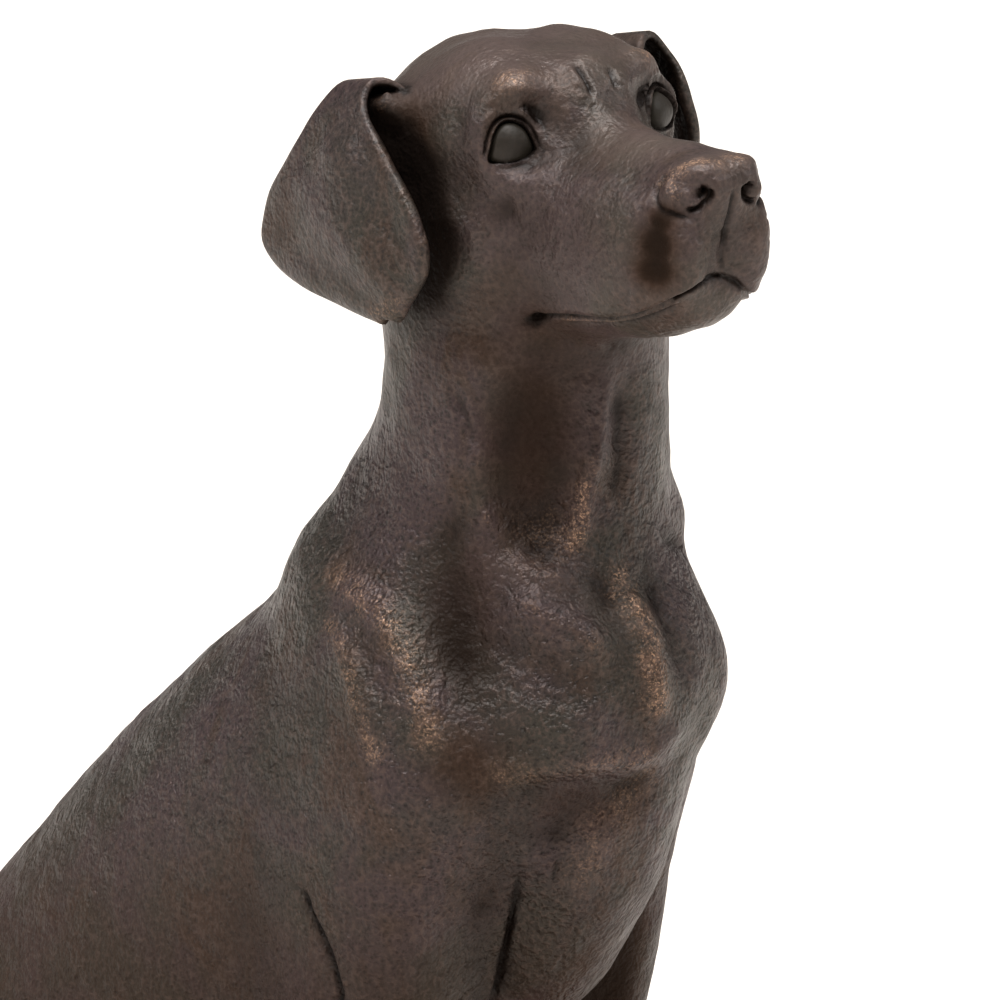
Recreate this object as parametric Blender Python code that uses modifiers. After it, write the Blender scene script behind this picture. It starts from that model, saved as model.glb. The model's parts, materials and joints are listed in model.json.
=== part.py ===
"""A seated dog in cast bronze on a low base.

The dog faces -Y with its head turned a little to its right, which is at -X.
The base stands on Z = 0, and the origin is under the middle of the base.
"""
import math

import bmesh
import bpy
import numpy as np
from mathutils import Euler, Matrix, Vector
from mathutils.bvhtree import BVHTree

# Driving dimensions, in metres
DOG_HEIGHT = 0.480        # from the top of the base to the crown of the head
BASE_THICKNESS = 0.018
BASE_MARGIN = 0.012       # the base beyond the dog's reach, on all sides
BASE_CORNER = 0.045       # radius of the base's upright corners
BASE_EDGE = 0.004         # rounding of the base's upper edge
SEAT_GAP = 0.0003         # between the dog's flat underside and the base

# Pose and proportions are counted in 75ths of the dog's own height
GRID = DOG_HEIGHT / 75.0
SEAT = BASE_THICKNESS + SEAT_GAP

# The dog's reach over the base, in grid units
NOSE_REACH = 14.8
RUMP_REACH = 45.2
SIDE_REACH = 17.2
DOG_SHIFT = (NOSE_REACH - RUMP_REACH) / 2.0

# The head's own frame lies between the eyes, with the body's axes turned and tipped up
HEAD_PLACE = (-1.0, -5.2, 71.4)
HEAD_TURN = -13.0
HEAD_PITCH = -14.0

# How fine the form is worked, in grid units, and what it is thinned to
GRAIN = 0.52
ROUNDS = 22
FILL_ROUNDS = 60
TRIANGLES = 9200

# An ellipsoid is this ball, stretched
BALL_AROUND = 20
BALL_RINGS = 12


def unit_ball(around, rings):
    ball = bmesh.new()
    bmesh.ops.create_uvsphere(ball, u_segments=around, v_segments=rings, radius=1)
    points = np.array([vert.co[:] for vert in ball.verts])
    faces = [[vert.index for vert in face.verts] for face in ball.faces]
    ball.free()
    return points, faces


BALL = unit_ball(BALL_AROUND, BALL_RINGS)


def moved(points, matrix):
    turn = np.array(matrix.to_3x3())
    return points @ turn.T + np.array(matrix.translation)


def lump(form, centre, radii, turn=(0, 0, 0), frame=Matrix()):
    """Add an ellipsoid to the form."""
    spin = Euler([math.radians(angle) for angle in turn]).to_matrix().to_4x4()
    place = frame @ Matrix.Translation(centre) @ spin @ Matrix.Diagonal((*radii, 1))
    form.append((moved(BALL[0], place), BALL[1]))


def lump_pair(form, centre, radii, turn=(0, 0, 0), frame=Matrix()):
    """Add an ellipsoid and its mirror image across the frame's own middle plane."""
    lump(form, centre, radii, turn, frame)
    mirrored = (-centre[0], centre[1], centre[2])
    lump(form, mirrored, radii, (turn[0], -turn[1], -turn[2]), frame)


def smooth_path(stations, steps):
    """Rows of numbers passed through smoothly, with steps rows for each stretch."""
    rows = np.array(stations, float)
    padded = np.vstack([2 * rows[0] - rows[1], rows, 2 * rows[-1] - rows[-2]])
    path = []
    for i in range(1, len(rows)):
        before, start, end, after = padded[i - 1:i + 3]
        for t in np.arange(steps) / steps:
            path.append(0.5 * (2 * start + (end - before) * t
                               + (2 * before - 5 * start + 4 * end - after) * t * t
                               + (3 * start - before - 3 * end + after) * t ** 3))
    path.append(rows[-1])
    return np.array(path)


def limb(form, stations, steps=5, frame=Matrix()):
    """A limb or trunk: flattened masses set close along a path.

    Each station is a centre, half the width across the body and half the depth.
    """
    path = smooth_path([(*centre, wide, deep) for centre, wide, deep in stations], steps)
    for i, (x, y, z, wide, deep) in enumerate(path):
        ahead = path[min(i + 1, len(path) - 1), :3]
        behind = path[max(i - 1, 0), :3]
        along = Vector(ahead - behind).normalized()
        across = Vector((1, 0, 0))
        across = (across - along * across.dot(along)).normalized()
        deepwise = along.cross(across)
        axes = Matrix((across, deepwise, along)).transposed().to_4x4()
        size = Matrix.Diagonal((wide, deep, min(wide, deep), 1))
        place = frame @ Matrix.Translation((x, y, z)) @ axes @ size
        form.append((moved(BALL[0], place), BALL[1]))


def limb_pair(form, stations, steps=5, frame=Matrix()):
    limb(form, stations, steps, frame)
    mirrored = [((-x, y, z), wide, deep) for (x, y, z), wide, deep in stations]
    limb(form, mirrored, steps, frame)


def torso(form):
    limb(form, [((0, -3.0, 48.2), 6.4, 6.2),
                ((0, 1.8, 46.3), 8.0, 7.5),
                ((0, 6.3, 41.1), 9.0, 9.4),
                ((0, 11.0, 35.0), 9.6, 10.8),
                ((0, 17.0, 29.8), 9.4, 9.9),
                ((0, 23.0, 24.5), 9.2, 9.2),
                ((0, 29.5, 18.5), 9.6, 9.4),
                ((0, 34.0, 11.5), 9.2, 9.0)])
    lump(form, (0, 33.8, 8.4), (9.0, 8.6, 9.3))
    # Breast muscles, the breastbone between them and the brisket below
    lump_pair(form, (2.9, -5.0, 48.0), (3.7, 3.2, 4.4), (-14, 0, 0))
    lump_pair(form, (2.6, -4.0, 51.6), (3.2, 2.8, 3.6), (-14, 0, 0))
    lump(form, (0, -5.8, 47.8), (2.8, 2.8, 4.6), (-10, 0, 0))
    limb(form, [((0, -4.4, 45.4), 5.4, 4.0),
                ((0, -3.5, 41.2), 4.8, 4.0),
                ((0, -2.1, 37.5), 4.5, 4.1),
                ((0, 0.8, 32.5), 4.3, 4.2),
                ((0, 6.0, 28.0), 4.8, 4.0)])


def neck(form):
    limb(form, [((0, 3.4, 47.5), 5.4, 7.2),
                ((0, 0.9, 52.0), 6.1, 7.1),
                ((0.15, -0.8, 56.5), 5.85, 6.3),
                ((0.1, -1.15, 61.0), 5.8, 5.9),
                ((0, -0.7, 65.5), 5.7, 6.0),
                ((-0.2, 0.0, 69.0), 5.2, 5.8)])
    # Muscles down both sides of the neck to the breast
    limb_pair(form, [((4.0, -1.4, 62.0), 1.7, 2.6),
                     ((4.3, -1.6, 57.0), 1.8, 2.8),
                     ((4.6, -2.0, 52.5), 2.0, 2.8)])


def shoulders_and_forelegs(form):
    limb_pair(form, [((3.0, 6.5, 51.7), 2.0, 2.5),
                     ((4.9, 3.6, 50.0), 2.8, 4.0),
                     ((6.3, -0.2, 46.4), 3.2, 4.6),
                     ((6.5, 1.5, 38.8), 3.6, 4.6),
                     ((6.0, 2.0, 32.0), 3.3, 4.1),
                     ((5.6, 2.3, 27.5), 2.8, 3.3),
                     ((5.3, 1.2, 21.0), 2.6, 2.9),
                     ((5.2, 0.2, 14.0), 2.35, 2.5),
                     ((5.2, -0.4, 9.0), 2.6, 2.6),
                     ((5.3, -1.4, 5.0), 2.4, 2.4)])
    lump_pair(form, (5.9, 4.8, 29.0), (2.0, 2.4, 2.8))
    paw(form, (5.4, -4.6), 5.2)


def haunches(form):
    limb_pair(form, [((6.2, 31.5, 17.5), 5.8, 9.0),
                     ((8.6, 25.0, 18.5), 5.6, 8.8),
                     ((9.8, 18.0, 20.0), 5.0, 7.2),
                     ((10.2, 12.0, 21.0), 4.2, 4.8)])
    limb_pair(form, [((10.4, 11.8, 19.5), 4.0, 4.4),
                     ((10.6, 15.5, 13.0), 4.4, 5.8),
                     ((10.5, 22.0, 7.4), 4.0, 5.2),
                     ((10.2, 27.5, 3.6), 3.0, 4.0),
                     ((10.6, 20.5, 2.4), 2.7, 2.9),
                     ((11.0, 13.0, 2.2), 2.7, 2.7)])
    lump_pair(form, (9.0, 22.0, 15.0), (5.6, 12.0, 10.0), (-14, 0, 0))
    lump_pair(form, (8.8, 26.0, 10.5), (5.4, 9.0, 8.6))
    lump_pair(form, (8.0, 30.0, 8.4), (5.4, 8.4, 9.0))
    paw(form, (11.2, 8.4), 5.0)


def paw(form, place, length):
    """A paw with four toes, on both sides of the body."""
    x, y = place
    lump_pair(form, (x, y + 0.7, 2.2), (2.9, length * 0.8, 2.5))
    for toe in range(4):
        spread = toe - 1.5
        reach = length * (0.60 if abs(spread) > 1 else 0.78)
        lump_pair(form, (x + 1.4 * spread, y - reach * 0.75, 1.3), (1.0, length * 0.36, 1.6),
                  (0, 0, 7 * spread))


def tail(form):
    limb(form, [((0.0, 38.5, 7.5), 3.6, 3.6),
                ((1.2, 41.4, 3.8), 3.0, 2.8),
                ((6.0, 42.4, 2.1), 2.3, 2.4),
                ((11.6, 39.2, 1.8), 2.0, 2.2),
                ((14.9, 33.0, 1.5), 1.7, 2.0),
                ((15.6, 26.5, 1.2), 1.1, 1.6)])


def skull(form, frame):
    lump_pair(form, (1.7, 4.1, 0.0), (3.8, 5.5, 4.0), frame=frame)
    lump(form, (0, 8.6, -0.9), (3.8, 3.6, 3.8), frame=frame)
    lump_pair(form, (2.7, 1.0, 1.0), (2.0, 2.1, 1.7), frame=frame)
    lump_pair(form, (3.1, 0.9, -0.4), (1.2, 1.6, 1.6), frame=frame)
    lump(form, (0, 0.9, 0.6), (2.8, 2.8, 2.6), frame=frame)
    lump_pair(form, (3.4, 2.0, -1.4), (1.4, 2.9, 2.2), frame=frame)
    lump_pair(form, (3.4, 4.8, -3.6), (2.3, 4.2, 4.2), frame=frame)


def muzzle(form, frame):
    limb(form, [((0, 1.0, -1.7), 2.9, 2.2),
                ((0, -3.0, -2.1), 2.1, 1.8),
                ((0, -7.2, -3.0), 1.8, 1.4)], frame=frame)
    limb_pair(form, [((2.0, 2.6, -4.0), 2.0, 3.2),
                     ((2.1, -1.0, -4.4), 1.7, 3.1),
                     ((1.9, -4.4, -4.8), 1.6, 2.9),
                     ((1.5, -6.7, -4.9), 1.5, 2.3)], frame=frame)
    limb_pair(form, [((2.1, 2.0, -5.7), 1.6, 1.9),
                     ((2.0, -1.0, -6.3), 1.5, 1.65),
                     ((1.9, -4.2, -6.4), 1.5, 1.6),
                     ((1.5, -6.5, -6.0), 1.5, 1.6)], frame=frame)
    limb(form, [((0, 6.0, -6.0), 3.6, 2.6),
                ((0, 1.0, -7.0), 2.9, 1.75),
                ((0, -3.6, -7.55), 2.3, 1.35),
                ((0, -6.1, -7.35), 1.7, 1.3)], frame=frame)
    # The nose pad and its two wings
    lump(form, (0, -7.95, -2.9), (1.9, 1.2, 1.2), frame=frame)
    lump(form, (0, -8.0, -3.2), (1.5, 1.15, 1.05), frame=frame)
    lump_pair(form, (1.3, -7.65, -3.0), (0.95, 1.15, 0.95), frame=frame)


# The ear's leather in the head's frame, from its root over the fold to its tip: how far out
# and how high its middle is, and where its front and back edges lie
EAR_LEATHER = ((3.9, 0.9, 5.6, 8.6), (5.0, 2.15, 5.1, 8.4), (5.75, 2.72, 5.0, 7.9),
               (6.4, 2.42, 5.35, 8.0), (6.9, 1.5, 5.7, 9.1), (7.2, 0.3, 4.6, 10.3),
               (7.45, -0.9, 3.4, 11.9), (7.6, -1.9, 2.3, 12.8), (7.65, -2.9, 2.0, 13.0),
               (7.65, -3.9, 1.95, 12.1), (7.6, -4.8, 2.4, 10.6), (7.5, -5.5, 3.5, 8.5),
               (7.4, -6.05, 4.7, 7.0), (7.35, -6.4, 5.5, 6.1))
EAR_HALF = 0.52
# How far the flap's edges bend in to the head
EAR_BEND = 0.35
# How far each ear is moved out, back and up, and how much its flap swings back
RIGHT_EAR = (0.0, 0.0, -0.15, 0.0)
LEFT_EAR = (0.75, -1.7, -0.1, 0.7)
EAR_STEPS = 4
EAR_COLUMNS = 30


def ear(side, set_of_ear, half):
    """A hanging ear: leather that rises from the skull and folds over into a flap.

    It is a closed shell of points and faces in the head's frame, with a round rim.
    """
    out, back, up, swing = set_of_ear
    rows = smooth_path(EAR_LEATHER, EAR_STEPS)
    share = (1 - np.cos(np.linspace(0, math.pi, EAR_COLUMNS))) / 2
    x, z, front, rear = [rows[:, [i]] for i in range(4)]
    y = front + (rear - front) * share
    hangs = eased((1.8 - z) / 2.0)
    across = 2 * share - 1
    x = x - EAR_BEND * hangs * across ** 2 + 0.12 * hangs * np.sin(5.0 * share + 0.5 * z)
    y = y + back + swing * np.maximum(1.5 - z, 0)
    middle = np.dstack([side * (x + out), y, z + up + 0 * y])
    down = np.gradient(middle, axis=0)
    over = np.gradient(middle, axis=1)
    normal = np.cross(over, down) * side
    normal /= np.maximum(np.linalg.norm(normal, axis=2, keepdims=True), 1e-6)
    rim = np.concatenate([middle[0], middle[:, -1], middle[-1, ::-1], middle[::-1, 0]])
    fine = smooth_path(rim[::2], 3)
    near = np.array([np.linalg.norm(fine - spot, axis=1).min()
                     for spot in middle.reshape(-1, 3)]).reshape(x.shape[0], -1)
    short = 1 - np.minimum(near / half, 1)
    thick = half * np.sqrt(np.maximum(1 - short ** 2, 0))
    count, width = thick.shape
    edge = np.zeros((count, width), bool)
    edge[[0, -1]] = True
    edge[:, [0, -1]] = True
    thick[edge] = 0
    outer = middle + normal * thick[:, :, None]
    inner = middle - normal * thick[:, :, None]
    points = list(outer.reshape(-1, 3))
    upper = np.arange(count * width).reshape(count, width)
    lower = upper.copy()
    for row in range(count):
        for column in range(width):
            if not edge[row, column]:
                lower[row, column] = len(points)
                points.append(inner[row, column])
    faces = []
    for row in range(count - 1):
        for column in range(width - 1):
            for grid, turned in ((upper, side > 0), (lower, side < 0)):
                face = [grid[row, column], grid[row, column + 1],
                        grid[row + 1, column + 1], grid[row + 1, column]]
                faces.append([int(corner) for corner in (face[::-1] if turned else face)])
    return np.array(points), faces


def masses():
    """All masses of the dog, each a pair of points and faces, in grid units."""
    turn = Matrix.Rotation(math.radians(HEAD_TURN), 4, "Z")
    pitch = Matrix.Rotation(math.radians(HEAD_PITCH), 4, "X")
    head = Matrix.Translation(HEAD_PLACE) @ turn @ pitch
    form = []
    torso(form)
    neck(form)
    shoulders_and_forelegs(form)
    haunches(form)
    tail(form)
    skull(form, head)
    muzzle(form, head)
    # The ears' folds are closed behind
    for side, (out, back, up, _) in ((-1, RIGHT_EAR), (1, LEFT_EAR)):
        lump(form, (side * (5.7 + out), 7.5 + back, 0.6 + up), (1.4, 1.3, 2.0), frame=head)
    for side, set_of_ear in ((-1, RIGHT_EAR), (1, LEFT_EAR)):
        points, faces = ear(side, set_of_ear, EAR_HALF)
        form.append((moved(points, head), faces))
    return form, head


def fused(form, name, grain):
    """One skin over all masses."""
    points = []
    faces = []
    count = 0
    for lump_points, lump_faces in form:
        points.append(lump_points)
        faces.extend([[corner + count for corner in face] for face in lump_faces])
        count += len(lump_points)
    mesh = bpy.data.meshes.new(name)
    mesh.from_pydata(np.concatenate(points).tolist(), [], faces)
    rough = bpy.data.objects.new(name, mesh)
    bpy.context.scene.collection.objects.link(rough)
    skin = rough.modifiers.new("Skin", "REMESH")
    skin.mode = "VOXEL"
    skin.voxel_size = grain
    evaluated = rough.evaluated_get(bpy.context.evaluated_depsgraph_get())
    result = bpy.data.meshes.new_from_object(evaluated)
    bpy.data.objects.remove(rough)
    return result


def neighbour_mean(values, ends, near, count):
    total = np.column_stack([np.bincount(ends[:, 0], values[ends[:, 1], axis], count)
                             for axis in range(values.shape[1])])
    return total / near


def relaxed(points, edges, rounds, weight):
    """Even out the skin without shrinking it, by as much as each point's weight."""
    count = len(points)
    ends = np.concatenate([edges, edges[:, ::-1]])
    near = np.bincount(ends[:, 0], minlength=count)[:, None]
    for _ in range(rounds):
        for pull in (0.5, -0.52):
            mean = neighbour_mean(points, ends, near, count)
            points = points + (mean - points) * pull * weight[:, None]
    return points


def mesh_arrays(mesh):
    points = np.empty(len(mesh.vertices) * 3)
    mesh.vertices.foreach_get("co", points)
    edges = np.empty(len(mesh.edges) * 2, int)
    mesh.edges.foreach_get("vertices", edges)
    return points.reshape(-1, 3), edges.reshape(-1, 2)


def mesh_normals(mesh):
    normals = np.empty(len(mesh.vertices) * 3)
    mesh.vertex_normals.foreach_get("vector", normals)
    return normals.reshape(-1, 3)


def set_points(mesh, points):
    mesh.vertices.foreach_set("co", points.ravel())
    mesh.update()


def eased(value):
    value = np.clip(value, 0, 1)
    return value * value * (3 - 2 * value)


def to_path(points, path, margin=5.0):
    """Distance of each point to a line through the path's points, and how far along it is."""
    path = np.array(path, float)[:, :3]
    nearest = np.full(len(points), np.inf)
    place = np.zeros(len(points))
    low, high = path.min(axis=0) - margin, path.max(axis=0) + margin
    close = np.flatnonzero(((points > low) & (points < high)).all(axis=1))
    spots = points[close]
    best = np.full(len(close), np.inf)
    where = np.zeros(len(close))
    for i, (start, end) in enumerate(zip(path[:-1], path[1:])):
        along = end - start
        share = np.clip((spots - start) @ along / max(along @ along, 1e-9), 0, 1)
        reach = np.linalg.norm(spots - start - share[:, None] * along, axis=1)
        better = reach < best
        best[better] = reach[better]
        where[better] = i + share[better]
    nearest[close] = best
    place[close] = where / (len(path) - 1)
    return nearest, place


class Carver:
    """A skin under the chisel. Cuts are laid on the skin as it was when the work began."""

    def __init__(self, mesh, head=None):
        points, _ = mesh_arrays(mesh)
        normals = mesh_normals(mesh)
        if head is not None:
            points = in_head(points, head)
            normals = normals @ np.array(head.to_3x3())
        self.mesh = mesh
        self.head = head
        self.start = points
        self.points = points.copy()
        self.normals = normals
        faces = [polygon.vertices[:] for polygon in mesh.polygons]
        self.skin = BVHTree.FromPolygons(points.tolist(), faces)

    def laid(self, path, steps=5):
        """The path made smooth and laid on the skin."""
        line = smooth_path([row[:3] for row in path], steps)
        spots = [self.skin.find_nearest(Vector(spot)) for spot in line]
        line = np.array([spot[0][:] for spot in spots])
        line[1:-1] = (line[:-2] + 2 * line[1:-1] + line[2:]) / 4
        return line

    def furrow(self, path, width, depth, fade=0.0, steps=5):
        """Press a soft furrow along a path; a negative depth raises a ridge.

        The furrow dies away over the share fade of its length at both ends.
        """
        reach, place = to_path(self.start, self.laid(path, steps), 3 * width)
        amount = depth * np.exp(-(reach / width) ** 2)
        if fade > 0:
            amount = amount * eased(np.minimum(place, 1 - place) / fade)
        self.points -= self.normals * amount[:, None]

    def swell(self, centre, radii, height):
        """Raise a soft swelling; a negative height makes a hollow."""
        spot = np.array(self.skin.find_nearest(Vector(centre))[0])
        spread = (((self.start - spot) / radii) ** 2).sum(axis=1)
        self.points += self.normals * (height * np.exp(-spread))[:, None]

    def done(self):
        if self.head is None:
            set_points(self.mesh, self.points)
        else:
            set_points(self.mesh, moved(self.points, self.head))


def flipped(path):
    return [(-x, y, z) for x, y, z in path]


def body_carving(skin):
    """Muscles and folds of the neck, breast, shoulders and legs."""
    # The hollow beside the throat, with the rims that close it below
    skin.swell((-4.3, -5.2, 57.4), (1.4, 2.2, 3.4), -0.50)
    skin.furrow([(-5.7, -4.2, 55.0), (-4.6, -5.3, 53.6), (-3.2, -6.1, 53.2), (-2.6, -6.2, 53.9)],
                0.45, -0.22, 0.25)
    skin.furrow([(-2.7, -6.2, 60.5), (-2.6, -6.3, 57.4), (-2.7, -6.2, 54.2)], 0.5, -0.24, 0.25)
    skin.furrow([(-1.8, -6.7, 62.5), (-1.7, -6.7, 58), (-1.5, -6.6, 54)], 0.35, 0.18, 0.2)
    skin.furrow([(-0.8, -6.8, 61.6), (-0.8, -6.9, 58.5), (-0.6, -6.8, 55.3)], 0.5, 0.36, 0.2)
    skin.swell((5.3, -4.9, 54.2), (1.6, 1.6, 1.6), 0.5)
    skin.furrow([(3.0, -5.9, 53.2), (5.2, -5.0, 52.8)], 0.5, 0.22, 0.2)
    # The breast's broad plane and the edge where it turns under
    skin.furrow([(-6.6, -4.6, 44.8), (-4.9, -7.0, 45.6), (0, -8.7, 45.9), (4.9, -7.0, 45.6),
                 (6.6, -4.6, 44.8)], 1.2, -0.26, 0.15)
    skin.furrow([(-6.4, -5.0, 43.4), (-4.8, -6.6, 43.9), (-1.0, -8.0, 44.0)], 0.8, 0.16, 0.3)
    skin.furrow([(0.5, -8.7, 52.6), (0.2, -9.2, 49.5), (0.1, -9.1, 46.5)], 0.8, -0.20, 0.3)
    skin.swell((-3.4, -7.6, 49.4), (2.2, 1.6, 2.6), -0.12)
    for fold in (list, flipped):
        skin.furrow(fold([(-5.6, -3.0, 62.6), (-6.0, -2.9, 60.2), (-6.1, -3.5, 58.2),
                          (-6.5, -3.0, 57.1), (-6.8, -1.4, 54.8), (-6.9, -1.3, 52.6)]),
                    0.5, 0.30, 0.15)
        skin.furrow(fold([(-6.7, 3.2, 52.4), (-7.5, 0.3, 51.4), (-8.2, -2.2, 49.0),
                          (-8.9, -2.7, 46.6)]), 0.9, -0.22, 0.25)
        skin.furrow(fold([(-7.9, 2.5, 50.6), (-8.8, 0.8, 48.9), (-9.4, -1.1, 45.6)]),
                    0.7, -0.18, 0.3)
        skin.furrow(fold([(-4.9, -4.9, 41.0), (-4.6, -4.2, 38.0), (-4.2, -3.3, 35.0),
                          (-3.4, -1.6, 31.0)]), 0.45, 0.36, 0.15)
        skin.furrow(fold([(-9.8, 2.4, 39.8), (-9.9, 1.0, 38.0), (-9.6, 0.7, 36.0),
                          (-9.2, 1.6, 33.6), (-8.2, 4.5, 30.0)]), 0.45, 0.40, 0.15)
        skin.furrow(fold([(-6.3, 6.4, 27.2), (-6.2, 5.4, 24.5), (-6.0, 4.3, 20.5)]),
                    0.5, 0.2, 0.3)
        skin.furrow(fold([(-7.3, 0.2, 14.5), (-7.0, -0.6, 8.0)]), 0.5, 0.15, 0.4)
        # The thigh's front edge and the tendon above the hock
        skin.furrow(fold([(-13.6, 9.8, 17.8), (-14.3, 13.2, 15.2), (-14.6, 18.0, 11.0),
                          (-14.2, 24.0, 7.0)]), 0.9, 0.26, 0.3)
        skin.furrow(fold([(-12.0, 29.0, 5.2), (-12.9, 24.0, 4.6), (-13.2, 18.0, 4.4)]),
                    0.5, 0.26, 0.3)
        for gap in (-1, 0, 1):
            between = 5.4 + 1.4 * gap
            skin.furrow(fold([(-between, -9.6, 0.5), (-between, -7.6, 3.4),
                              (-between, -5.2, 4.6)]), 0.26, 0.42, 0.2)
            between = 11.2 + 1.4 * gap
            skin.furrow(fold([(-between, 3.6, 0.5), (-between, 5.6, 3.2),
                              (-between, 8.0, 4.4)]), 0.26, 0.42, 0.2)


# The eye's ball, in the head's frame, on the side of +X
EYE_CENTRE = np.array((3.36, 0.60, -0.20))
EYE_GAZE = np.array((0.72, -0.69, 0.04))
EYE_RADIUS = 1.10
EYE_WIDTH = 0.98
EYE_LIFT = 0.80
LID = 0.15

MOUTH = ((3.0, 1.42, -7.48), (2.9, -1.1, -7.36), (2.7, -4.4, -7.69), (2.4, -6.99, -7.42),
         (1.3, -7.9, -6.83), (0, -7.75, -6.55))


def eye_carving(skin, side):
    """An eyeball between two lids."""
    out = EYE_GAZE / np.linalg.norm(EYE_GAZE) * (side, 1, 1)
    up = np.array((0, 0, 1.0)) - out * out[2]
    up /= np.linalg.norm(up)
    along = np.cross(out, up)
    local = skin.points - EYE_CENTRE * (side, 1, 1)
    across, high, front = local @ along, local @ up, local @ out
    ring = np.hypot(across / EYE_WIDTH, high / EYE_LIFT)
    flat = np.minimum(across ** 2 + high ** 2, (EYE_RADIUS * 0.98) ** 2)
    ball = np.sqrt(EYE_RADIUS ** 2 - flat)
    lid = np.sqrt((EYE_RADIUS + LID) ** 2 - flat)
    inside = eased((1.0 - ring) / 0.16 + 0.5)
    wanted = ball * inside + lid * (1 - inside)
    hold = (1 - eased((ring - 1.15) / 0.65)) * (front > 0)
    skin.points += out * ((wanted - front) * hold)[:, None]


def head_carving(skin):
    """Sockets, brows, nose, lips and eyes, in the head's frame."""
    for side in (-1, 1):
        turned = np.array((side, 1, 1))
        skin.swell((3.2, -0.3, 2.5) * turned, (1.2, 1.2, 0.8), 0.16)
        skin.swell((2.9, -1.3, 0.5) * turned, (0.7, 0.9, 0.8), -0.26)
        skin.swell((4.2, 0.2, -2.9) * turned, (1.2, 1.4, 1.0), -0.14)
        skin.swell((3.0, -4.6, -6.2) * turned, (1.4, 2.0, 1.3), 0.16)
        skin.swell((2.6, -6.9, -4.9) * turned, (0.8, 0.8, 1.4), -0.30)
        skin.swell((1.05, -9.05, -2.89) * turned, (0.42, 0.6, 0.42), -0.50)
        skin.furrow([(2.15, -7.36, -2.05), (2.15, -7.1, -3.5), (1.2, -8.58, -3.98),
                     (0, -8.9, -4.0)] * turned, 0.24, 0.26)
        skin.furrow(np.array(MOUTH) * turned, 0.22, 0.42)
    skin.furrow([(0, -9.3, -3.0), (0, -8.7, -4.5), (0, -7.9, -6.5)], 0.16, 0.24)
    skin.furrow([(0, -0.6, 2.7), (0, -2.4, 0.4)], 0.5, 0.14)
    for side in (-1, 1):
        eye_carving(skin, side)


def refined(mesh, near, levels):
    """Split the faces whose corners all lie near the finer carving."""
    work = bmesh.new()
    work.from_mesh(mesh)
    bmesh.ops.triangulate(work, faces=work.faces)
    for level in range(levels):
        points = np.array([vert.co[:] for vert in work.verts])
        chosen = near(points, level)
        edges = [edge for edge in work.edges
                 if chosen[edge.verts[0].index] and chosen[edge.verts[1].index]]
        bmesh.ops.subdivide_edges(work, edges=edges, cuts=1, use_grid_fill=True)
        bmesh.ops.triangulate(work, faces=[face for face in work.faces if len(face.verts) > 3])
        work.verts.index_update()
    work.to_mesh(mesh)
    work.free()


def in_head(points, head):
    return moved(points, head.inverted())


def near_face(points, head, level):
    """Whether points lie by the eyes, nose or lips; the band along the lips narrows by level."""
    local = in_head(points, head)
    folded = np.column_stack([np.abs(local[:, 0]), local[:, 1], local[:, 2]])
    eye = np.linalg.norm(folded - EYE_CENTRE, axis=1) < 2.2
    nose = np.linalg.norm(folded - (0.8, -8.4, -3.3), axis=1) < 1.9
    lips = to_path(folded, MOUTH)[0] < 0.9 - 0.3 * level
    return eye | nose | lips


def filled(mesh, rounds, weight):
    """Let the creases between masses fill up, while the swellings keep their size."""
    points, edges = mesh_arrays(mesh)
    count = len(points)
    ends = np.concatenate([edges, edges[:, ::-1]])
    near = np.bincount(ends[:, 0], minlength=count)[:, None]
    for _ in range(rounds):
        set_points(mesh, points)
        normals = mesh_normals(mesh)
        pull = neighbour_mean(points, ends, near, count) - points
        out = (pull * normals).sum(axis=1)
        slide = pull - normals * out[:, None]
        rise = np.where(out > 0, 0.9, 0.2) * out * weight
        points = points + normals * rise[:, None] + slide * 0.4
    set_points(mesh, points)


def fill_weight(points, local):
    """Full on the trunk, little on the feet, and less in the face and about the ears."""
    weight = 0.15 + 0.85 * eased((points[:, 2] - 5) / 6)
    between_legs = eased((44.5 - points[:, 2]) / 4) * eased((3 - points[:, 1]) / 3)
    weight = weight * (1 - 0.6 * between_legs * eased((7.5 - np.abs(points[:, 0])) / 2))
    skull = np.linalg.norm((local - (0, 0, -2.5)) / (9.5, 14, 8.5), axis=1)
    return weight * (0.12 + 0.88 * eased((skull - 0.9) / 0.3))


def dog_mesh():
    form, head = masses()
    mesh = fused(form, "dog", GRAIN)
    points, edges = mesh_arrays(mesh)
    local = in_head(points, head)
    in_face = eased(1.6 - np.linalg.norm(local - (0, -3, -3), axis=1) / 8.0)
    points = relaxed(points, edges, ROUNDS, 1.0 - 0.6 * in_face)
    set_points(mesh, points)
    filled(mesh, FILL_ROUNDS, fill_weight(points, local))
    refined(mesh, lambda spots, level: near_face(spots, head, level), 2)
    points, edges = mesh_arrays(mesh)
    near = near_face(points, head, 0).astype(float)
    set_points(mesh, relaxed(points, edges, 3, near))
    skin = Carver(mesh)
    body_carving(skin)
    skin.done()
    skin = Carver(mesh, head)
    head_carving(skin)
    skin.done()
    return mesh


def thinned(mesh, triangles):
    """The same skin with fewer triangles, kept dense where it bends."""
    count = sum(len(face.vertices) - 2 for face in mesh.polygons)
    dense = bpy.data.objects.new("dense", mesh)
    bpy.context.scene.collection.objects.link(dense)
    fewer = dense.modifiers.new("Fewer", "DECIMATE")
    fewer.ratio = triangles / count
    fewer.use_collapse_triangulate = True
    evaluated = dense.evaluated_get(bpy.context.evaluated_depsgraph_get())
    result = bpy.data.meshes.new_from_object(evaluated)
    bpy.data.objects.remove(dense)
    return result


def bronze():
    material = bpy.data.materials.new("bronze")
    material.use_nodes = True
    shader = material.node_tree.nodes["Principled BSDF"]
    shader.inputs["Base Color"].default_value = (0.085, 0.062, 0.050, 1)
    shader.inputs["Metallic"].default_value = 0.85
    shader.inputs["Roughness"].default_value = 0.48
    return material


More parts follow.
